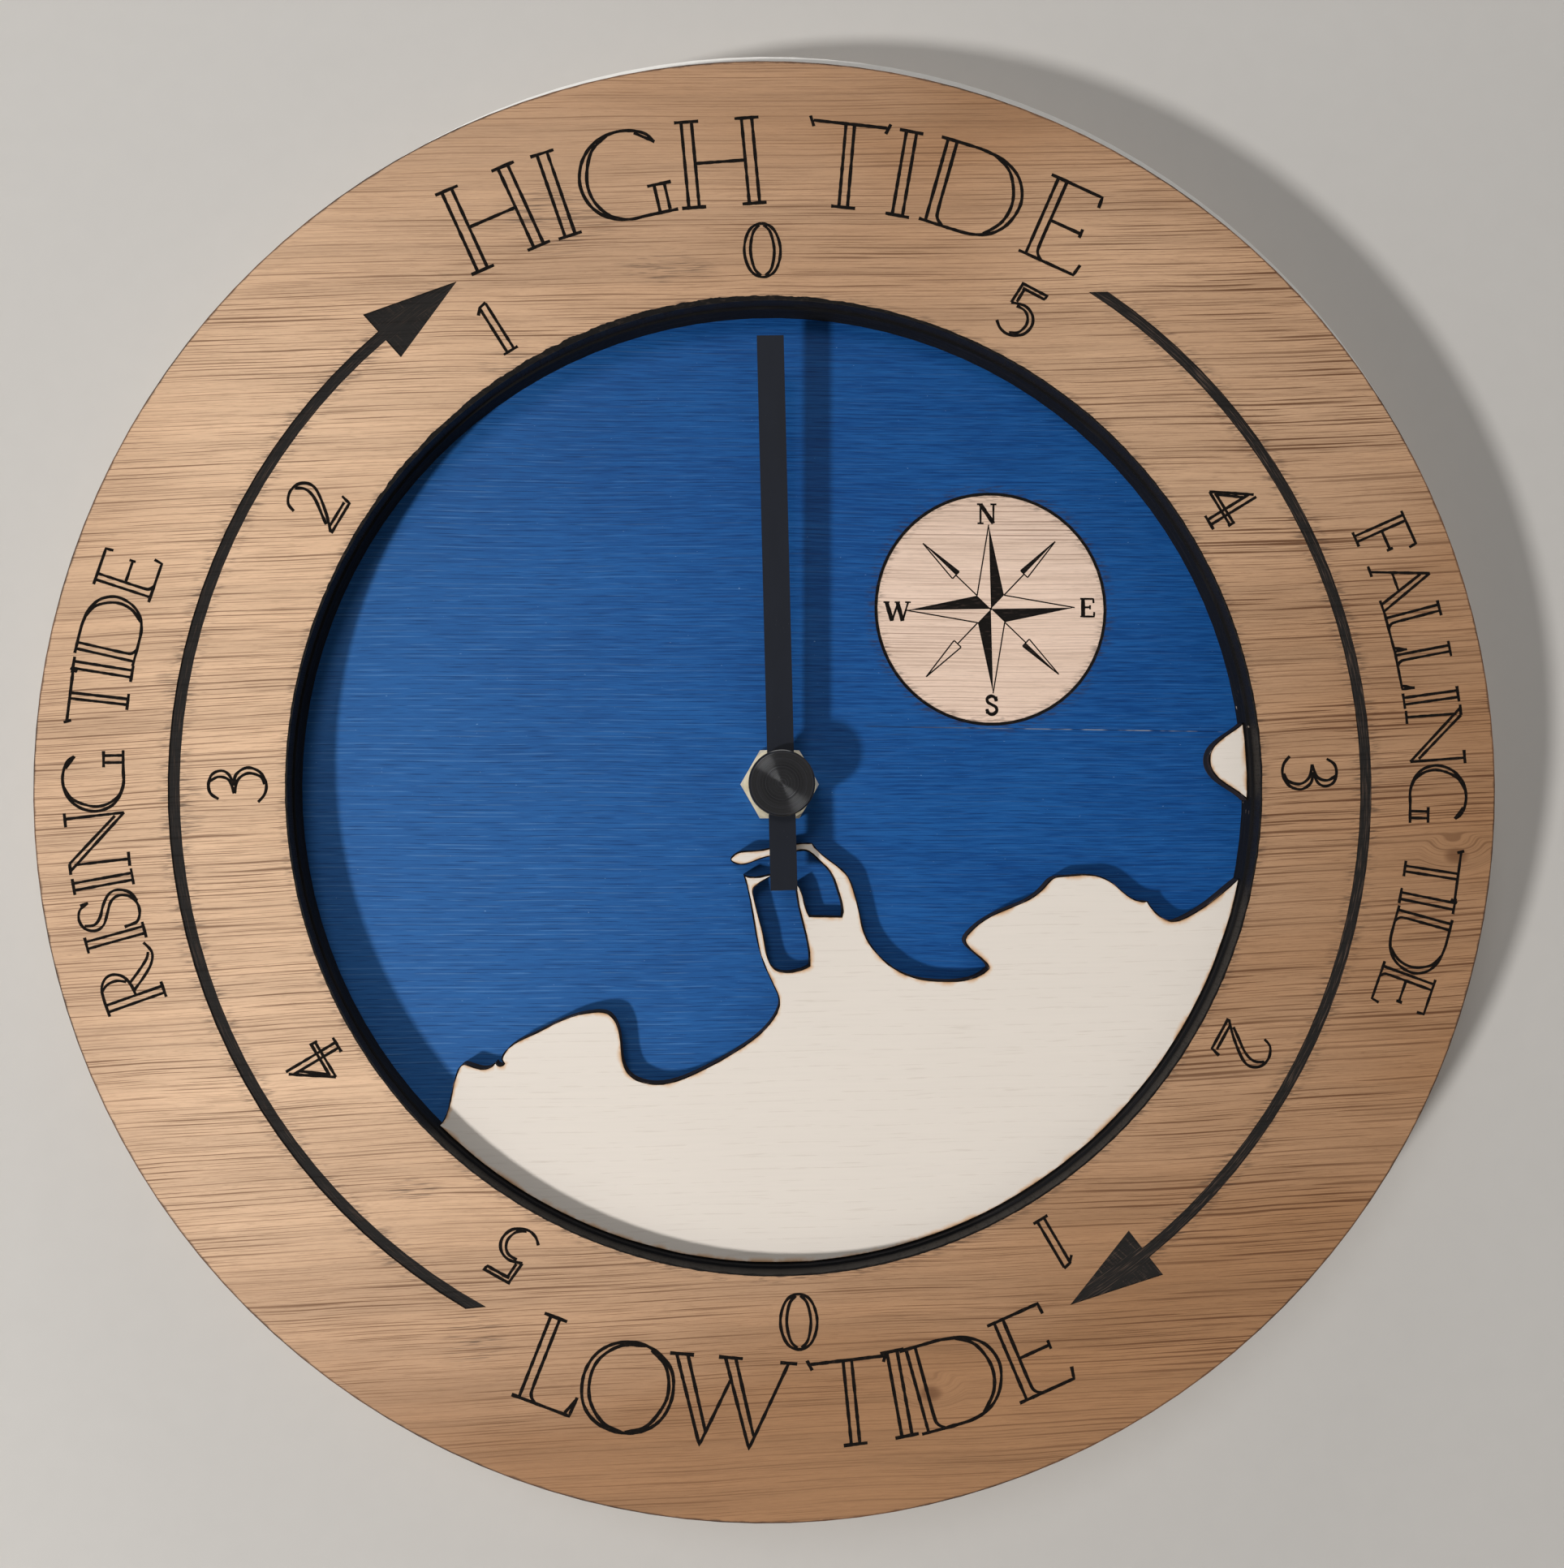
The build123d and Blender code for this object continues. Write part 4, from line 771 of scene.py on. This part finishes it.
high_tide = Word("HIGHTIDE", (1.0, -15.7), 144.8, 17.9, (-24.6, -19.1, -13.2, -5.4, 5.0, 9.8, 15.7, 23.7))
low_tide = Word("LOWTIDE", (1.7, 0.2), 126.6, 17.4,
                (-158.5, -165.0, -174.5, 174.3, 169.8, 164.6, 156.9), outward=False)
rising_tide = Word("RISINGTIDE", (-11.6, 3.0), 126.6, 11.7,
                   (-109.5, -105.6, -103.0, -100.4, -96.7, -91.1, -83.7, -81.0, -77.3, -71.9))
falling_tide = Word("FALLINGTIDE", (10.5, 0.5), 127.2, 11.7,
                    (66.0, 70.8, 75.3, 79.1, 82.0, 85.6, 91.3, 98.6, 101.3, 105.2, 110.0))
dial_numbers = Word("054321054321", (0.3, 0.4), 110.0, 11.2,
                    (-2.2, 27.0, 58.4, 88.9, 119.6, 149.5, 178.3, -150.1, -120.9, -90.5, -59.6, -32.3))
compass_letters = (
    ("N", 44.5, 58.0, 4.1), ("E", 66.1, 38.0, 3.8), ("S", 45.4, 17.0, 3.7), ("W", 25.1, 36.9, 4.0))


# Shapes made from burnt lines
def smooth_path(points, steps=6):
    """Points of a smooth curve through the given ones."""
    last = len(points) - 1
    closed = points[0] == points[last]
    path = []
    for index in range(last):
        start = Vector(points[index])
        end = Vector(points[index + 1])
        before = Vector(points[index - 1 if index > 0 else (last - 1 if closed else 0)])
        after = Vector(points[index + 2 if index + 2 <= last else (1 if closed else last)])
        for step in range(steps):
            share = step / steps
            bend = (end - before) * share + (2 * before - 5 * start + 4 * end - after) * share ** 2
            bend += (3 * start - before - 3 * end + after) * share ** 3
            path.append(tuple(start + bend / 2))
    path.append(tuple(points[last]))
    return path


def spaced_path(points, spacing):
    """The same path with no two points further apart than the spacing."""
    path = [points[0]]
    for start, end in zip(points, points[1:]):
        count = max(1, math.ceil(math.dist(start, end) / spacing))
        for number in range(1, count + 1):
            share = number / count
            path.append(tuple(a + (b - a) * share for a, b in zip(start, end)))
    return path


def stroke_path(stroke, x0, z0, height, spacing, up=(0.0, 1.0)):
    """Path of a letter's stroke in millimetres on the dial, round the middle of the letter."""
    smooth, points = stroke
    scale = height / 100
    placed = [(x0 + scale * (x * up[1] + (y - 50) * up[0]), z0 + scale * ((y - 50) * up[1] - x * up[0]))
              for x, y in points]
    return spaced_path(smooth_path(placed) if smooth else placed, spacing)


def path_direction(path, index, closed):
    """Direction of a path at one of its points."""
    count = len(path)
    before = path[(index - 1) % count if closed else max(index - 1, 0)]
    after = path[(index + 1) % count if closed else min(index + 1, count - 1)]
    run = (after[0] - before[0], after[1] - before[1])
    length = math.hypot(*run) or 1.0
    return run[0] / length, run[1] / length


def dial_point(shape, x, z, height):
    """New point of a mesh, in millimetres on the dial and over the wall."""
    return shape.verts.new((x * mm, -height * mm, z * mm))


def join_rows(shape, rows, closed):
    """Join each row of points to the next with faces; closed also joins the last row to the first."""
    pairs = list(zip(rows, rows[1:]))
    if closed:
        pairs.append((rows[-1], rows[0]))
    faces = []
    for first, second in pairs:
        for corner in range(len(first)):
            following = (corner + 1) % len(first)
            corners = (first[corner], first[following], second[following], second[corner])
            faces.append(shape.faces.new(corners))
    return faces


def add_burnt_line(shape, path, width, back, front, uneven=0.16, closed=False):
    """Add one closed ribbon to a mesh, along a path in millimetres, a little uneven in width."""
    rows = []
    for index, (x, z) in enumerate(path):
        run = path_direction(path, index, closed)
        wobble = noise.noise(Vector((x * 0.9, z * 0.9, front)))
        half = width * (1 + uneven * 2 * wobble) / 2
        rows.append([dial_point(shape, x - side * run[1] * half, z + side * run[0] * half, height)
                     for side, height in ((1, front), (-1, front), (-1, back), (1, back))])
    join_rows(shape, rows, closed)
    if not closed:
        shape.faces.new(rows[0])
        shape.faces.new(list(reversed(rows[-1])))


def add_object(name, shape, material):
    """Turn a mesh into an object of the scene."""
    mesh = bpy.data.meshes.new(name)
    shape.to_mesh(mesh)
    shape.free()
    mesh.materials.append(material)
    made = bpy.data.objects.new(name, mesh)
    bpy.context.scene.collection.objects.link(made)
    return made


def add_piece(name, shape, material):
    """Turn a mesh into a piece that rides on the clock's body."""
    bmesh.ops.recalc_face_normals(shape, faces=shape.faces)
    piece = add_object(name, shape, material)
    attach(piece, clock_body)
    return piece


def crossing_front(face, rise, number):
    """Height of a stroke's front, a little apart from those of the strokes that it crosses."""
    return face + rise + crossing_step * (number % crossing_steps)


def add_word(name, word, width, rise, material):
    """Burn a word's letters into the front ring."""
    shape = bmesh.new()
    for number, path in enumerate(word.paths()):
        front = crossing_front(ring_face, rise, number)
        add_burnt_line(shape, path, width, ring_face - crust_depth, front)
    add_piece(name, shape, material)


def face_outlines(node):
    """Closed outlines, in millimetres, of a flat piece's front face, with the face on their left."""
    shape = bmesh.new()
    shape.from_mesh(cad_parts[node].data)
    tolerance = 0.001 * mm
    bmesh.ops.remove_doubles(shape, verts=shape.verts, dist=tolerance)
    front = min(vertex.co.y for vertex in shape.verts)
    facing = [face for face in shape.faces
              if all(abs(vertex.co.y - front) < tolerance for vertex in face.verts)]
    front_faces = set(facing)
    following = {}
    for face in facing:
        for loop in face.loops:
            beside = {other.face for other in loop.edge.link_loops} - {face}
            if not beside & front_faces:
                following[loop.vert] = loop.link_loop_next.vert
    outlines = []
    while following:
        start, place = following.popitem()
        chain = [start]
        while place != start:
            chain.append(place)
            place = following.pop(place)
        outlines.append([(vertex.co.x / mm, vertex.co.z / mm) for vertex in chain])
    shape.free()
    return outlines


def inset_outline(outline, inset):
    """Outline moved towards its left."""
    moved = []
    for index, (x, z) in enumerate(outline):
        run = path_direction(outline, index, closed=True)
        moved.append((x - run[1] * inset, z + run[0] * inset))
    return moved


def edge_distance(x, z, segments):
    """Distance from a point to the nearest cut edge."""
    nearest = math.inf
    for (ax, az), (bx, bz) in segments:
        run = (bx - ax, bz - az)
        share = ((x - ax) * run[0] + (z - az) * run[1]) / (run[0] ** 2 + run[1] ** 2)
        share = min(max(share, 0.0), 1.0)
        nearest = min(nearest, math.hypot(x - ax - run[0] * share, z - az - run[1] * share))
    return nearest


def moved_in(outline, reaches):
    """Outline whose points each move their own way towards its left."""
    return [(x + (x1 - x) * reach, z + (z1 - z) * reach)
            for (x, z), (x1, z1), reach in zip(outline, inset_outline(outline, 1.0), reaches)]


def free_reaches(outline, segments, width):
    """How far a band can go inwards from each point of an outline before it meets another edge."""
    steps = 12
    spare = 0.9
    straight_in = 0.95
    least = 0.12
    reaches = []
    for (x, z), (x1, z1) in zip(outline, inset_outline(outline, 1.0)):
        reach = 0.0
        for step in range(1, steps + 1):
            further = width / spare * step / steps
            place = (x + (x1 - x) * further, z + (z1 - z) * further)
            if edge_distance(*place, segments) < straight_in * further:
                break
            reach = further
        reaches.append(max(reach, least) * spare)
    return reaches


def unfold(outline, reaches):
    """Shorten the reaches until the inner edge of the band nowhere runs backwards."""
    least = 0.03
    folded = True
    while folded:
        folded = False
        inner = moved_in(outline, reaches)
        for index in range(len(outline)):
            outside = Vector(outline[index]) - Vector(outline[index - 1])
            inside = Vector(inner[index]) - Vector(inner[index - 1])
            if outside.dot(inside) < 0.1 * outside.length_squared and reaches[index] > least:
                folded = True
                reaches[index] *= 0.8
                reaches[index - 1] *= 0.8


def add_fringe(shape, outline, segments, width, back, front):
    """Add a thin closed band inside an outline, with its way inwards kept as a texture coordinate.

    Where the wood is narrow the band is too, so that it never reaches past the middle.
    """
    across = shape.loops.layers.uv.get(fringe_map) or shape.loops.layers.uv.new(fringe_map)
    reaches = free_reaches(outline, segments, width)
    unfold(outline, reaches)
    rows = []
    inwards = {}
    for (x0, z0), (x1, z1), reach in zip(outline, moved_in(outline, reaches), reaches):
        row = [dial_point(shape, x, z, height)
               for x, z, height in ((x0, z0, front), (x1, z1, front), (x1, z1, back), (x0, z0, back))]
        faded = 0.55 + 0.45 * reach / width
        inwards.update(zip(row, (0.0, faded, faded, 0.0)))
        rows.append(row)
    for face in join_rows(shape, rows, closed=True):
        for loop in face.loops:
            loop[across].uv = (inwards[loop.vert], 0.0)


def dress(material, *nodes):
    """Give carried-over solids their finish."""
    for node in nodes:
        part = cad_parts[node]
        if not part.material_slots:
            part.data.materials.append(material)
        for slot in part.material_slots:
            slot.material = material


def clock_settings(context):
    return context.scene.tide_clock_lettering, context.scene.tide_clock_colours


# Operators, one for each piece or group of pieces
class TIDECLOCK_OT_front_ring(bpy.types.Operator):
    """Finish the wooden front ring and the charred edge of its opening"""

    bl_idname = "tideclock.front_ring"
    bl_label = "Front Ring"

    def execute(self, context):
        sizes, colours = clock_settings(context)
        dress(ring_wood_finish(colours), "front_ring")
        points = 1440
        raggedness = 55
        crusted_side = 0.38
        narrowest = 0.12
        width = sizes.opening_edge / mm
        shape = bmesh.new()
        rows = []
        for number in range(points):
            angle = 2 * math.pi * number / points
            across, up = math.sin(angle), math.cos(angle)
            ragged = noise.fractal(Vector((across * raggedness, up * raggedness, 0.5)), 0.7, 2.2, 3)
            crusted = max(0.0, math.cos(angle + crusted_side)) ** 6
            reach = width * (1.0 + 0.25 * ragged + crusted * (2.6 + 0.6 * ragged))
            outer = opening_radius + max(reach, narrowest)
            rows.append([dial_point(shape, radius * across, radius * up, height) for radius, height in (
                (opening_radius, ring_face - 0.6), (opening_radius - 0.04, ring_face - 0.05),
                (opening_radius + 0.1, ring_face + 0.05), (outer, ring_face + 0.03),
                (outer, ring_face - crust_depth))])
        join_rows(shape, rows, closed=True)
        add_piece("opening_char", shape, char_finish())
        return {"FINISHED"}


class TIDECLOCK_OT_spacer_ring(bpy.types.Operator):
    """Finish the ring that holds the front ring off the sea board"""

    bl_idname = "tideclock.spacer_ring"
    bl_label = "Spacer Ring"

    def execute(self, context):
        dress(spacer_finish(clock_settings(context)[1]), "spacer_ring")
        return {"FINISHED"}


class TIDECLOCK_OT_sea_board(bpy.types.Operator):
    """Finish the blue sea board and burn in the letters of its compass"""

    bl_idname = "tideclock.sea_board"
    bl_label = "Sea Board"

    def execute(self, context):
        sizes, colours = clock_settings(context)
        dress(sea_board_finish(colours), "sea_board")
        shape = bmesh.new()
        number = 0
        for letter, x0, z0, height in compass_letters:
            for share, stroke in compass_strokes[letter]:
                path = stroke_path(stroke, x0, z0, height, spacing=0.4)
                front = crossing_front(sea_face, sizes.letter_rise / mm, number)
                width = share * sizes.compass_line / mm
                add_burnt_line(shape, path, width, sea_face - crust_depth, front)
                number += 1
        add_piece("compass_letters", shape, lettering_finish(colours))
        return {"FINISHED"}


class TIDECLOCK_OT_land(bpy.types.Operator):
    """Finish the coast and the islet, with their scorched cut edges"""

    bl_idname = "tideclock.land"
    bl_label = "Land"

    def execute(self, context):
        sizes, colours = clock_settings(context)
        material = land_finish(colours)
        crust = lettering_finish(colours)
        toasted = fringe_finish(colours)
        width = sizes.land_edge / mm
        back = land_face - 0.05
        for node in ("land_piece", "islet_piece"):
            dress(material, node)
            outlines = face_outlines(node)
            shape = bmesh.new()
            for outline in outlines:
                path = inset_outline(outline, width * 0.38)
                add_burnt_line(shape, path, width, back, land_face + 0.02, uneven=0.5, closed=True)
            add_piece(node + "_burnt_edge", shape, crust)
            segments = [pair for outline in outlines for pair in zip(outline, outline[1:] + outline[:1])]
            shape = bmesh.new()
            for outline in outlines:
                add_fringe(shape, outline, segments, sizes.land_fringe / mm, back, land_face + 0.006)
            add_piece(node + "_scorch", shape, toasted)
        return {"FINISHED"}


class TIDECLOCK_OT_lettering(bpy.types.Operator):
    """Burn the words and the numbers into the front ring"""

    bl_idname = "tideclock.lettering"
    bl_label = "Words and Numbers"

    def execute(self, context):
        sizes, colours = clock_settings(context)
        crust = lettering_finish(colours)
        for name, word, width in (
                ("high_tide_words", high_tide, sizes.word_line),
                ("low_tide_words", low_tide, sizes.word_line),
                ("rising_tide_words", rising_tide, sizes.side_line),
                ("falling_tide_words", falling_tide, sizes.side_line),
                ("dial_numbers", dial_numbers, sizes.number_line)):
            add_word(name, word, width / mm, sizes.letter_rise / mm, crust)
        return {"FINISHED"}


class TIDECLOCK_OT_hand(bpy.types.Operator):
    """Finish the hand, its cap, its collet and its wheel"""

    bl_idname = "tideclock.hand"
    bl_label = "Hand and Cap"

    def execute(self, context):
        colours = clock_settings(context)[1]
        dress(hand_finish(colours), "tide_hand")
        dress(cap_finish(colours), "hand_cap")
        dress(metal_finish("collet_brass", linear(206, 176, 116), 0.3, linear(160, 128, 76)), "hand_collet")
        dress(plastic_finish("tide_wheel_plastic", linear(238, 235, 226), 0.4), "tide_wheel")
        return {"FINISHED"}


class TIDECLOCK_OT_fixings(bpy.types.Operator):
    """Finish the nut, washer, gasket, bushing and hanger"""

    bl_idname = "tideclock.fixings"
    bl_label = "Nut and Fixings"

    def execute(self, context):
        brass = clock_settings(context)[1].nut
        dress(metal_finish("nut_brass", brass, 0.32, linear(206, 190, 152), metallic=0.65), "hex_nut")
        zinc = metal_finish("zinc_steel", linear(196, 198, 202), 0.36, linear(160, 162, 166), 4.0)
        dress(zinc, "bushing_washer", "hanger_bracket")
        dress(plastic_finish("gasket_rubber", linear(30, 30, 31), 0.85, 0.5, 0.04), "rubber_gasket")
        dress(metal_finish("bushing_brass", linear(206, 178, 116), 0.28, linear(166, 136, 84)),
              "threaded_bushing")
        return {"FINISHED"}


# Plastics of the movement: name, colour, roughness, grain and its depth in millimetres, and pieces
movement_plastics = (
    ("case_plastic", (38, 38, 40), 0.55, 0.30, 0.03, ("movement_front_cover", "movement_back_case")),
    ("plate_plastic", (224, 223, 218), 0.45, 0.25, 0.02, ("train_plate",)),
    ("wheel_plastic", (238, 234, 222), 0.40, 0.25, 0.02, (
        "setting_wheel", "cannon_pinion", "centre_wheel", "third_wheel", "second_wheel", "fifth_wheel",
        "rotor_pinion")),
    ("knob_plastic", (52, 52, 54), 0.40, 0.25, 0.02, ("setting_knob",)),
    ("magnet_ferrite", (64, 64, 66), 0.70, 0.15, 0.03, ("rotor_magnet",)),
    ("bobbin_plastic", (230, 230, 226), 0.40, 0.25, 0.02, ("coil_bobbin",)),
    ("board_laminate", (172, 142, 84), 0.50, 0.40, 0.02, ("circuit_board",)),
    ("chip_resin", (22, 22, 23), 0.20, 0.25, 0.02, ("clock_chip",)),
)
# Metals of the movement: name, colour, roughness, colour of the worn places, and pieces
movement_metals = (
    ("arbor_steel", (200, 202, 205), 0.25, (170, 172, 176), ("centre_arbor",)),
    ("motor_iron", (168, 168, 166), 0.45, (120, 118, 116), ("stator_plate", "coil_core")),
    ("contact_nickel", (208, 204, 196), 0.30, (176, 172, 164), (
        "battery_contact_positive", "battery_contact_negative")),
    ("crystal_can", (206, 206, 206), 0.22, (176, 176, 178), ("quartz_crystal",)),
)


class TIDECLOCK_OT_movement(bpy.types.Operator):
    """Finish the movement: case, wheels, motor, electronics and battery"""

    bl_idname = "tideclock.movement"
    bl_label = "Movement"

    def execute(self, context):
        for name, colour, roughness, grain, depth, nodes in movement_plastics:
            dress(plastic_finish(name, linear(*colour), roughness, grain, depth), *nodes)
        for name, colour, roughness, tint, nodes in movement_metals:
            dress(metal_finish(name, linear(*colour), roughness, linear(*tint)), *nodes)
        dress(winding_finish(), "coil_winding")
        dress(battery_finish(), "battery")
        return {"FINISHED"}


# Camera and light. The camera stands a little left of the dial's middle and below it.
camera_place = (-0.0140, -0.3313, -0.0074)
camera_tilt = 1.39
camera_swing = -2.7
camera_lens = 33.62
# Each lamp: its direction from the dial, its distance and size in metres, its power and its colour.
lamps = (
    ("key_light", (-0.85, -1.0, -0.55), 1.7, 0.14, 22.5, (1.0, 0.99, 0.975)),
    ("fill_light", (-0.30, -1.0, 0.45), 1.5, 0.45, 4.4, (0.98, 0.99, 1.0)),
    ("ceiling_light", (0.0, -0.15, 1.0), 1.1, 0.70, 6.0, (1.0, 0.99, 0.975)),
    ("back_light", (-0.35, 1.0, 0.45), 1.5, 0.60, 16.0, (1.0, 0.99, 0.98)),
)
room_light = 0.15
backdrop_light = 0.55
room_colour = (1.0, 0.985, 0.965)
camera_sensor = 36.0
camera_near = 0.01
wall_half = 2.0
wall_place = 0.0003
floor_height = -0.80
floor_depth = 0.95


class TIDECLOCK_OT_stage(bpy.types.Operator):
    """Set up the wall, the floor, the light and the camera"""

    bl_idname = "tideclock.stage"
    bl_label = "Stage"

    def plane(self, name, corners, material):
        """Flat piece of the stage, which throws no shadow, so that light comes in from behind."""
        shape = bmesh.new()
        shape.faces.new([shape.verts.new(corner) for corner in corners])
        made = add_object(name, shape, material)
        made.visible_shadow = False

    def wall_material(self, colours):
        """Plain pale paint, clear from behind so that the clock's back can be looked at."""
        paint = Finish("stage_paint", roughness=0.9)
        paint.finish(paint.lighten(colours.wall, 0.98 + paint.grit(6, 3.0) * 0.04))
        facing = paint.node("ShaderNodeNewGeometry")
        clear = paint.node("ShaderNodeBsdfTransparent")
        either = paint.node("ShaderNodeMixShader", {}, {
            0: facing.outputs["Backfacing"], 1: paint.shader.outputs["BSDF"], 2: clear.outputs["BSDF"]})
        output = next(node for node in paint.tree.nodes if node.type == "OUTPUT_MATERIAL")
        feed(paint.tree, output.inputs["Surface"], either.outputs["Shader"])
        return paint.material

    def world(self):
        """Even room light, with a pale backdrop for the camera and for reflections."""
        world = bpy.data.worlds.new("studio")
        world.use_nodes = True
        tree = world.node_tree
        tree.nodes.clear()
        rays = add_node(tree, "ShaderNodeLightPath")
        seen = add_node(tree, "ShaderNodeMath", {"operation": "MAXIMUM"}, {
            0: rays.outputs["Is Camera Ray"], 1: rays.outputs["Is Glossy Ray"]})
        strength = add_node(tree, "ShaderNodeMapRange", {}, {
            "Value": seen.outputs["Value"], "To Min": room_light, "To Max": backdrop_light})
        light = add_node(tree, "ShaderNodeBackground", {}, {
            "Color": room_colour, "Strength": strength.outputs["Result"]})
        add_node(tree, "ShaderNodeOutputWorld", {}, {"Surface": light.outputs["Background"]})
        return world

    def execute(self, context):
        colours = clock_settings(context)[1]
        material = self.wall_material(colours)
        left, right = -wall_half, wall_half
        self.plane("stage_wall", (
            (left, wall_place, floor_height), (right, wall_place, floor_height),
            (right, wall_place, wall_half), (left, wall_place, wall_half)), material)
        self.plane("stage_floor", (
            (left, -floor_depth, floor_height), (right, -floor_depth, floor_height),
            (right, wall_place, floor_height), (left, wall_place, floor_height)), material)

        for name, direction, distance, size, power, colour in lamps:
            lamp = bpy.data.lights.new(name, "AREA")
            lamp.shape = "DISK"
            lamp.size = size
            lamp.energy = power
            lamp.color = colour
            placed = bpy.data.objects.new(name, lamp)
            placed.location = Vector(direction).normalized() * distance
            placed.rotation_euler = Vector(direction).to_track_quat("Z", "Y").to_euler()
            context.scene.collection.objects.link(placed)

        lens = bpy.data.cameras.new("photo_camera")
        lens.lens = camera_lens
        lens.sensor_width = camera_sensor
        lens.clip_start = camera_near
        camera = bpy.data.objects.new("photo_camera", lens)
        camera.location = camera_place
        camera.rotation_euler = (math.radians(90 + camera_tilt), 0.0, math.radians(camera_swing))
        context.scene.collection.objects.link(camera)
        context.scene.camera = camera
        context.scene.world = self.world()
        context.scene.view_settings.view_transform = "Standard"
        return {"FINISHED"}


class TIDECLOCK_PT_panel(bpy.types.Panel):
    """Sidebar panel with the clock's settings and operators"""

    bl_idname = "TIDECLOCK_PT_panel"
    bl_label = "Tide Clock"
    bl_space_type = "VIEW_3D"
    bl_region_type = "UI"
    bl_category = "Tide Clock"

    def draw(self, context):
        for settings in clock_settings(context):
            column = self.layout.column(align=True)
            for label in settings.__annotations__:
                column.prop(settings, label)
        for operator in operators:
            self.layout.operator(operator.bl_idname)


operators = (
    TIDECLOCK_OT_front_ring,
    TIDECLOCK_OT_spacer_ring,
    TIDECLOCK_OT_sea_board,
    TIDECLOCK_OT_land,
    TIDECLOCK_OT_lettering,
    TIDECLOCK_OT_hand,
    TIDECLOCK_OT_fixings,
    TIDECLOCK_OT_movement,
    TIDECLOCK_OT_stage,
)
classes = (TideClockLettering, TideClockColours, *operators, TIDECLOCK_PT_panel)


def register():
    for kind in classes:
        bpy.utils.register_class(kind)
    bpy.types.Scene.tide_clock_lettering = bpy.props.PointerProperty(type=TideClockLettering)
    bpy.types.Scene.tide_clock_colours = bpy.props.PointerProperty(type=TideClockColours)


def unregister():
    del bpy.types.Scene.tide_clock_colours
    del bpy.types.Scene.tide_clock_lettering
    for kind in reversed(classes):
        bpy.utils.unregister_class(kind)


def main():
    register()
    bpy.ops.tideclock.front_ring()
    bpy.ops.tideclock.spacer_ring()
    bpy.ops.tideclock.sea_board()
    bpy.ops.tideclock.land()
    bpy.ops.tideclock.lettering()
    bpy.ops.tideclock.hand()
    bpy.ops.tideclock.fixings()
    bpy.ops.tideclock.movement()
    bpy.ops.tideclock.stage()


if __name__ == "__main__":
    main()
